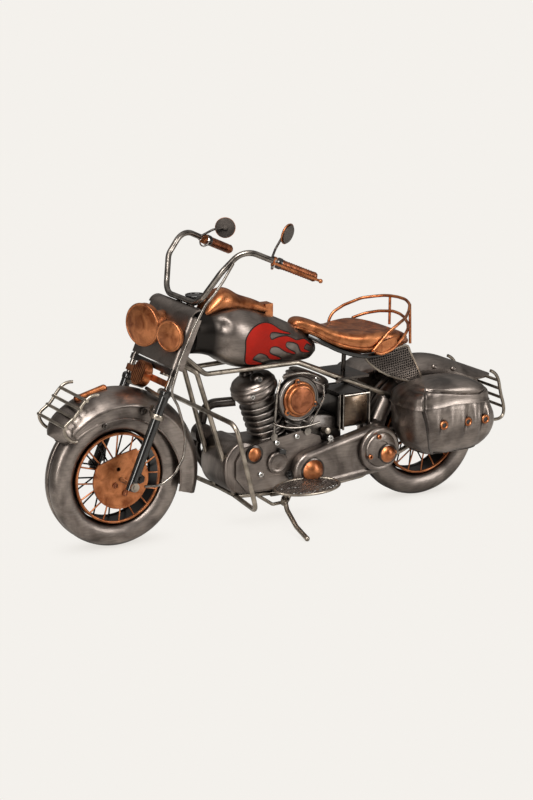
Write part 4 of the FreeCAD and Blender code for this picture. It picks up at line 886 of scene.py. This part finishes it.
piece("cylinder_barrels", *join([leaning(BARREL, side) for side in (1, -1)]), FIN_STEEL, split=50,
      replaces="cylinders")
piece("cylinder_caps", *join([leaning(HEAD, side) for side in (1, -1)]), STEEL, split=60,
      replaces="cylinder_heads")
ROCKER_DOME = [(0, 0), (0, 5.2), (1.6, 5.2), (3.2, 4.4), (4.4, 2.6), (4.8, 0)]
domes = [lathe(ROCKER_DOME, (15.5, side * 7.5, 103.0), (0.25, side * 0.3, 1), 32) for side in (-1, 1)]
piece("rocker_domes", *join(domes), DARK_STEEL)

ACROSS = (0, 1, 0)


def screw_head(place, axis, radius=1.7):
    """Cheese head with a hollow in the middle."""
    return lathe([(-1.5, 0), (-1.5, radius), (1.0, radius), (1.4, radius * 0.8), (1.4, radius * 0.5),
                  (0.5, radius * 0.45), (0.5, 0)], place, axis, 20)


CASE_SCREWS = ((-8.5, 62.5), (7.5, 60.0), (20.0, 39.0))
CLUTCH_MIDDLE = Vector((-71.5, 0, 47.0))
HEAD_SCREWS = [((22.3, 13.4, 92.7), (0.55, 0.83, 0)), ((17.6, 14.6, 104.6), (0.4, 0.9, 0.2)),
               ((-27.6, 14.4, 100.0), (-0.2, 0.95, 0.2))]
steel_screws = [screw_head((x, 20.6, z), ACROSS, 1.9) for x, z in CASE_SCREWS]
piece("crankcase_screws", *join(steel_screws), BRIGHT, "frame", "bare_rod", replaces="engine_screws")
clutch_spots = [round_point(CLUTCH_MIDDLE, 10.5, angle, 32.9) for angle in (75, 195, 340)]
piece("clutch_screws", *join([screw_head(spot, ACROSS) for spot in clutch_spots]), COPPER, "frame",
      "copper_plate")
piece("head_screws", *join([screw_head(*screw) for screw in HEAD_SCREWS]), BRIGHT, "frame", "bare_rod")
piece("case_brass_bolt", *lathe(flat_disc_profile(-4, 2.4, 6.2), (-33.4, 19.5, 63.0), (0, 1, 0.15), 24),
      ROD, "frame", "bare_rod")
piece("case_chrome_bolt", *screw_head((-35.4, 21.0, 57.7), ACROSS, 2.4), BRIGHT, "frame", "bare_rod")
piece("case_black_knob", *lathe(flat_disc_profile(-3, 3.2, 5.0, 1.0), (-3.4, 21.0, 35.4), ACROSS, 24),
      BLACK, "frame", "black_lacquer")

# Air cleaner: a black ring, a bright rim, a copper lid with three screwed ears and a flat face.
AIR = Vector((-8.8, 0, 89.5))
AIR_RING = [(15.5, 0), (15.5, 14.6), (17.0, 15.8), (19.4, 15.2), (20.4, 16.3), (21.6, 16.4), (22.8, 15.6),
            (23.1, 14.8), (22.6, 14.0), (21.4, 13.4), (21.4, 0)]
AIR_RIM = [(22.3, 15.0), (22.9, 15.3), (23.3, 14.9), (23.2, 14.3), (22.7, 14.1)]
AIR_LID = [(21.6, 0), (21.6, 12.4), (23.4, 12.7), (24.2, 12.2), (24.5, 11.3), (25.4, 11.0), (26.6, 10.6),
           (27.3, 9.9), (27.4, 9.2), (26.9, 8.9), (26.9, 0)]
AIR_FACE = [(26.8, 0), (26.8, 8.9), (27.2, 8.8), (27.4, 8.2), (27.5, 0)]
AIR_EAR = [(22.0, 0), (22.0, 2.1), (24.0, 2.1), (24.4, 1.6), (24.4, 0)]
AIR_SCREW = [(24.2, 0), (24.2, 1.1), (25.0, 0.9), (25.1, 0)]
piece("air_cleaner_ring", *lathe(AIR_RING, AIR, ACROSS, 72), DARK_STEEL, "frame", "black_lacquer",
      split=60, replaces="air_cleaner_housing")
piece("air_cleaner_rim", *lathe(AIR_RIM, AIR, ACROSS, 72), FIN_STEEL)
ears = [round_point(AIR, 12.8, angle) for angle in (82, 200, 320)]
lid_parts = [lathe(AIR_LID, AIR, ACROSS, 72)] + [lathe(AIR_EAR, spot, ACROSS, 20) for spot in ears]
piece("air_cleaner_lid", *join(lid_parts), COPPER, "frame", "copper_plate", split=50,
      replaces="air_cleaner_cover")
piece("air_cleaner_face", *lathe(AIR_FACE, AIR, ACROSS, 60), DARK_COPPER, "frame", "copper_plate")
piece("air_cleaner_screws", *join([lathe(AIR_SCREW, spot, ACROSS, 14) for spot in ears]), BLACK,
      "frame", "black_lacquer")

LENS = [(19.9, 0), (19.9, 7.6), (21.6, 7.7), (22.4, 7.1), (22.6, 6.2), (22.2, 5.4), (22.1, 4.6),
        (22.6, 2.0), (22.7, 0)]
piece("gear_lens", *lathe(LENS, (7.0, 0, 46.0), ACROSS, 56), STEEL, split=60, replaces="filler_cap")
TAB = [(1.6, 51.2), (6.6, 52.6), (6.0, 56.2), (1.0, 54.6)]
piece("gear_lens_tab", *solid([[(x, y, z) for x, z in TAB] for y in (20.2, 23.2)]), BLACK, "frame",
      "black_lacquer", bevel=0.3)


def block(outline, centre, steps, sections):
    """Rounded block across the object; sections are (y, how far the outline draws in to the centre)."""
    rows = []
    for y, inset in sections:
        middle = Vector((centre[0], y, centre[1]))
        ring = curve([(x, y, z) for x, z in outline], steps, closed=True)
        rows.append([p + (middle - p).normalized() * inset for p in ring])
    return solid(rows)


CASE = [(40, 60), (45.6, 52), (46.6, 43), (45, 34), (38, 27), (20, 25), (-30, 25), (-37, 31), (-37.6, 46),
        (-32, 56), (-20, 60), (20, 60), (32, 63)]
CASE_SECTIONS = ((-18, 2.2), (-17.7, 1.0), (-17, 0.3), (-15.5, 0), (0, 0), (15.5, 0), (17, 0.3),
                 (17.7, 1.0), (18, 2.2))
piece("crankcase_shell", *block(CASE, (4, 43), 8, CASE_SECTIONS), STEEL_UPRIGHT, split=50,
      replaces="crankcase")


def capsule(front, rear, inset, y, steps=28):
    """Outline wrapped round two circles, (x, z, radius) each, by their outer tangents."""
    (x1, z1, r1), (x2, z2, r2) = front, rear
    base = atan2(z2 - z1, x2 - x1)
    swing = acos((r1 - r2) / hypot(x2 - x1, z2 - z1))
    ring = []
    for x, z, r, begin, end in ((x2, z2, r2, base - swing, base + swing),
                                (x1, z1, r1, base + swing, base + 2 * pi - swing)):
        for k in range(steps + 1):
            a = begin + (end - begin) * k / steps
            ring.append(Vector((x + (r - inset) * cos(a), y, z + (r - inset) * sin(a))))
    return ring


PRIMARY = ((-17.8, 38.0, 14.0), (-71.5, 46.0, 17.5))
PRIMARY_LEVELS = [(20.1, 0), (24.0, 0), (25.6, 0.25), (26.8, 0.9), (27.6, 2.0), (28.0, 3.4), (27.8, 4.6),
                  (27.3, 5.4), (27.3, 6.4)]
piece("primary_shell", *solid([capsule(*PRIMARY, inset, y) for y, inset in PRIMARY_LEVELS]), STEEL,
      split=60, replaces="primary_cover")
CLUTCH = [(26, 0), (26, 15.6), (28.4, 16.3), (30.2, 16.1), (31.4, 15.2), (31.8, 14.0), (31.2, 13.0),
          (31.2, 12.4), (32.0, 12.0), (32.6, 11.2), (32.6, 6.4), (32.0, 6.0), (32.0, 0)]
piece("clutch_flange", *lathe(CLUTCH, CLUTCH_MIDDLE, ACROSS, 72), STEEL, split=50,
      replaces="clutch_cover")
collar_parts = []
for spot, r in (((25.0, 20.0, 54.0), 6.6), ((-17.8, 27.2, 38.0), 9.2), ((-76.5, 32.2, 43.5), 7.2)):
    collar = [(-0.5, 0), (-0.5, r), (0.9, r), (1.2, r - 0.5), (1.2, 0)]
    collar_parts.append(lathe(collar, spot, ACROSS, 48))
piece("dome_collars", *join(collar_parts), DARK_STEEL)

GEARBOX = [(-14, 58), (-20, 72), (-34, 74), (-46, 70), (-50, 60), (-48, 46), (-30, 42), (-16, 48)]
BOX_SECTIONS = ((-13, 2.0), (-12, 0.4), (-10, 0), (10, 0), (12, 0.4), (13, 2.0))
piece("gearbox_top", *block(GEARBOX, (-32, 58), 5, BOX_SECTIONS), DARK_STEEL, split=50)

# Oil box: dark frame rods with a bronze-brown side panel.
BRONZE = metal("bronze_panel", (0.06, 0.040, 0.028), (0.27, 0.195, 0.135), (0.2, 0.38), (0.15, 1, 1),
               coat=0.35)
# Inner and outer edge of a panel: y, front x, rear x, low z, high z.
PANEL_EDGES = ((16.2, -48.5, -69.5, 63.2, 84.6), (16.9, -49.5, -68.5, 64.2, 83.6))
# Rods of a panel's frame: x, z of each end, y, radius.
PANEL_RODS = (((-48.4, 61.0), (-48.4, 87.0), 17.6, 0.8), ((-45.6, 61.0), (-45.6, 87.0), 17.4, 0.7),
              ((-70.2, 62.0), (-70.2, 87.0), 17.4, 0.8), ((-48.4, 85.6), (-70.2, 85.6), 17.4, 0.7))
panel_parts, rod_parts = [], []
for side in (-1, 1):
    panel_parts.append(solid([[(front, side * y, low), (rear, side * y, low), (rear, side * y, high),
                               (front, side * y, high)] for y, front, rear, low, high in PANEL_EDGES]))
    for start, end, y, radius in PANEL_RODS:
        rod_parts.append(tube([(x, side * y, z) for x, z in (start, end)], radius, 8))
piece("oil_box_panels", *join(panel_parts), BRONZE)
piece("oil_box_rods", *join(rod_parts), BAR_STEEL, "frame", "bare_rod")

# ---- wheels
# painted shade: rims and spokes darken to near black towards the far side of each wheel
WHEEL_SHADOW = (0.014, 0.012, 0.011)
WHEEL_COPPER = shaded_along(COPPER, "wheel_copper", "Y", 0.0048, 0.0056, WHEEL_SHADOW)
SPOKE_COPPER = shaded_along(COPPER, "spoke_copper", "Y", 0.0001, 0.0009, WHEEL_SHADOW)
for end in ("front", "rear"):
    nodes[end + "_rim"].data.materials[0] = WHEEL_COPPER
    nodes[end + "_spokes"].data.materials[0] = SPOKE_COPPER

# Half of a tyre's section from its bead to the groove of the seam: distance from the middle, radius.
TYRE_HALF = [(3.0, 31.9), (6.4, 32.5), (8.6, 34.3), (9.8, 36.8), (10.3, 39.6), (10.1, 42.4), (9.3, 44.7),
             (7.8, 46.4), (5.4, 47.6), (3.2, 48.0), (1.8, 47.95), (1.1, 47.4), (0.9, 45.6), (0.0, 45.4)]
TYRE = [(-y, r) for y, r in TYRE_HALF] + [(y, r) for y, r in reversed(TYRE_HALF[:-1])] + [(0, 32.4)]
for end, axle in (("front", AXLE_FRONT), ("rear", AXLE_REAR)):
    rows = [[round_point(axle, r, 3 * k, y) for y, r in TYRE] for k in range(120)]
    body = end + "_wheel"
    piece(body + "_tyre_halves", *grid(rows + rows[:1], close_rows=True), STEEL, body, split=55,
          replaces=end + "_tyre")

RIVET = [(11.6, 0), (11.6, 2.0), (12.9, 2.0), (13.3, 1.4), (13.0, 0.8), (12.8, 0)]
rivets = [lathe(RIVET, (127, 0, 44.5), ACROSS, 6), lathe(RIVET, (119.8, 0, 38.2), ACROSS, 20)]
piece("disc_rivets", *join(rivets), DARK_COPPER, "front_wheel", "copper_plate")

# ---- fork and steering head
LEG_LEAD, LEG_Y = 11, 28
CLAMP = [(0, 3.2), (0, 4.5), (0.5, 4.8), (2.7, 4.8), (3.2, 4.5), (3.2, 3.2)]
LEG_COLLAR = [(0, 2.0), (0, 3.5), (1.4, 3.9), (3.4, 3.9), (4.6, 3.0), (5.0, 2.0)]
AXLE_NUT = [(0, 0), (0, 3.4), (2.4, 3.4), (2.9, 2.8), (2.9, 1.6), (3.8, 1.5), (3.8, 0)]
FENDER_BOLT = [(-0.8, 0), (-0.8, 2.4), (0.8, 2.4), (1.0, 1.9), (1.0, 1.2), (2.6, 1.1), (2.6, 0)]


def round_legs(profile, up):
    """The same turned ring on both fork legs at a height up the steering axis."""
    place = STEER_BASE + LEAD * LEG_LEAD + UP * up
    return join([lathe(profile, place + Vector((0, side * LEG_Y, 0)), UP, 32) for side in (-1, 1)])


def both_sides_out(profile, spots, facets, tip=0.0):
    """The same turned piece at each spot and its mirror spot, its axis pointing outwards."""
    return join([lathe(profile, (x, side * y, z), (0, side, tip), facets)
                 for side in (-1, 1) for x, y, z in spots])


piece("fork_ring_clamps", *round_legs(CLAMP, 46.9), ROD, "fork", "bare_rod")
piece("fork_leg_collars", *round_legs(LEG_COLLAR, 62.5), BLACK, "fork", "black_lacquer")
piece("axle_nuts", *both_sides_out(AXLE_NUT, [(117.4, 28.5, 52.6)], 6), DARK_STEEL, "fork", "bare_rod")
piece("fender_bolts", *both_sides_out(FENDER_BOLT, [(108.8, 19.2, 95.1), (136.7, 18.4, 88.3)], 6),
      DARK_STEEL, "fork")

# ---- bars
GRIP_START = Vector((22.1, 49.9, 191.0))
GRIP_END = Vector((1.4, 58.0, 182.0))
GRIP_RUN = (GRIP_END - GRIP_START).normalized()
GRIP_LENGTH = (GRIP_END - GRIP_START).length
grip_profile = [(-0.2, 2.2), (-0.2, 3.1), (0.6, 3.4), (1.4, 3.2)]
for number in range(11):
    at = 2.0 + number * 1.75
    grip_profile += [(at, 3.05), (at + 0.6, 3.3), (at + 1.2, 3.05)]
for beyond, radius in ((-1.8, 3.2), (-0.6, 3.3), (0.8, 2.6), (1.4, 1.2), (1.5, 0)):
    grip_profile.append((GRIP_LENGTH + beyond, radius))
piece("grip_sleeves", *both(lathe(grip_profile, GRIP_START, GRIP_RUN, 28)), DARK_COPPER, "fork",
      "copper_plate", split=60, replaces="grips")
GRIP_COLLAR = [(-3.6, 2.0), (-3.6, 3.5), (-3.0, 3.8), (-0.8, 3.8), (-0.2, 3.5), (-0.2, 2.0)]
piece("grip_collars", *both(lathe(GRIP_COLLAR, GRIP_START, GRIP_RUN, 28)), BLACK, "fork",
      "black_lacquer")


def hoop(centre, facing, radius, thickness, steps):
    """Ring of round wire facing along an axis."""
    side = facing.orthogonal().normalized()
    return tube(circle(centre, side, facing.cross(side), radius, steps), thickness, 8, closed=True)


lever_ring = hoop(GRIP_START - GRIP_RUN * 5.6 - Vector((0, 0, 1.4)), GRIP_RUN, 3.9, 0.55, 24)
piece("lever_rings", *both(lever_ring), BRIGHT, "fork", "bright_wire")
rim_parts = []
for centre, side in ((Vector((14.7, 44.0, 210.0)), 1), (Vector((13.7, -42.0, 200.9)), -1)):
    facing = Vector((0.45, -0.85 * side, 0.25)).normalized()
    rim_parts.append(hoop(centre - facing * 0.35, facing, 6.85, 0.42, 40))
piece("mirror_rims", *join(rim_parts), COPPER, "fork", "copper_plate")

# ---- rear fender rivets
FENDER_RIVET = [(-1, 0), (-1, 1.8), (0.5, 1.8), (0.9, 1.2), (0.6, 0.7), (0.5, 0)]
piece("rear_fender_rivets",
      *both_sides_out(FENDER_RIVET, [(-125.0, 17.6, 98.0), (-141.8, 17.6, 94.6)], 20, 0.35), STEEL)


# ---- studio
BACKDROP = (0.905, 0.880, 0.840)


def to_camera(tree, lit, seen, output):
    """Shows one shader to the camera and gives every other ray the lit one."""
    ray = tree.nodes.new("ShaderNodeLightPath")
    choose = tree.nodes.new("ShaderNodeMixShader")
    tree.links.new(ray.outputs["Is Camera Ray"], choose.inputs[0])
    tree.links.new(lit.outputs[0], choose.inputs[1])
    tree.links.new(seen.outputs[0], choose.inputs[2])
    tree.links.new(choose.outputs[0], output.inputs[0])


def floor_material():
    """Pale floor that keeps the backdrop's colour to the camera, with a painted shadow that darkens it only
    close under the object.
    """
    material, tree, shader = new_material("pale_floor")
    shader.inputs["Base Color"].default_value = (0.55, 0.54, 0.52, 1)
    shader.inputs["Roughness"].default_value = 0.9
    # painted shadow: ambient occlusion darkens the floor colour seen by the camera
    shade = add(tree, "ShaderNodeAmbientOcclusion", Distance=0.03)
    glow = add(tree, "ShaderNodeEmission", Strength=1.0,
               Color=ramp(tree, shade.outputs["AO"], [(0.0, (0.72, 0.69, 0.65)), (0.8, BACKDROP)]))
    output = next(node for node in tree.nodes if node.type == "OUTPUT_MATERIAL")
    to_camera(tree, shader, glow, output)
    return material


FLOOR_HALF = 6.0
corners = [(x * FLOOR_HALF, y * FLOOR_HALF, 0) for x, y in ((-1, -1), (1, -1), (1, 1), (-1, 1))]
floor_mesh = bpy.data.meshes.new("floor")
floor_mesh.from_pydata(corners, [], [(0, 1, 2, 3)])
floor_mesh.materials.append(floor_material())
floor = bpy.data.objects.new("floor", floor_mesh)
bpy.context.scene.collection.objects.link(floor)
floor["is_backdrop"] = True


def softbox(name, place, size, power, colour):
    """Rectangular lamp aimed at the object's middle."""
    light = bpy.data.lights.new(name, "AREA")
    light.shape = "RECTANGLE"
    light.size, light.size_y = size
    light.energy = power
    light.color = colour
    thing = bpy.data.objects.new(name, light)
    thing.location = place
    thing.rotation_euler = (OBJECT_MIDDLE - Vector(place)).to_track_quat("-Z", "Y").to_euler()
    bpy.context.scene.collection.objects.link(thing)


OBJECT_MIDDLE = Vector((0, 0, 0.08))
softbox("key_above", (0.45, 0.55, 1.0), (0.55, 0.45), 12.0, (1.0, 0.975, 0.94))
softbox("front_left", (1.15, 0.55, 0.5), (0.3, 0.8), 7.0, (1.0, 0.97, 0.93))
softbox("rear_right", (-0.75, 1.15, 0.55), (0.35, 0.8), 7.0, (1.0, 0.98, 0.95))

world = bpy.data.worlds.new("studio")
bpy.context.scene.world = world
world.use_nodes = True
sky = world.node_tree
sky.nodes.clear()
world_out = sky.nodes.new("ShaderNodeOutputWorld")
seen = add(sky, "ShaderNodeBackground", Color=(*BACKDROP, 1), Strength=1.0)
place = sky.nodes.new("ShaderNodeTexCoord")
height = add(sky, "ShaderNodeSeparateXYZ", Vector=place.outputs["Generated"])
bands = ramp(sky, height.outputs["Z"], [(0.0, (0.10, 0.094, 0.088)), (0.30, (0.20, 0.19, 0.18)),
                                       (0.55, (0.36, 0.345, 0.325)), (0.9, (0.62, 0.60, 0.575))])
reflected = add(sky, "ShaderNodeBackground", Color=bands, Strength=0.9)
to_camera(sky, reflected, seen, world_out)

scene = bpy.context.scene
scene.view_settings.view_transform = "Standard"

CAMERA_PLACE = Vector((0.6843, 1.1715, 0.4385))
LOOK_AT = Vector((0.0039, 0.0, 0.0853))
ROLL = radians(0.4)
camera_data = bpy.data.cameras.new("camera")
camera_data.lens = 90.6
camera_data.sensor_width = 36.0
camera = bpy.data.objects.new("camera", camera_data)
camera.location = CAMERA_PLACE
turn = (LOOK_AT - CAMERA_PLACE).to_track_quat("-Z", "Y").to_matrix().to_4x4()
camera.matrix_world = Matrix.Translation(CAMERA_PLACE) @ turn @ Matrix.Rotation(ROLL, 4, "Z")
scene.collection.objects.link(camera)
scene.camera = camera

low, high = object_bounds()
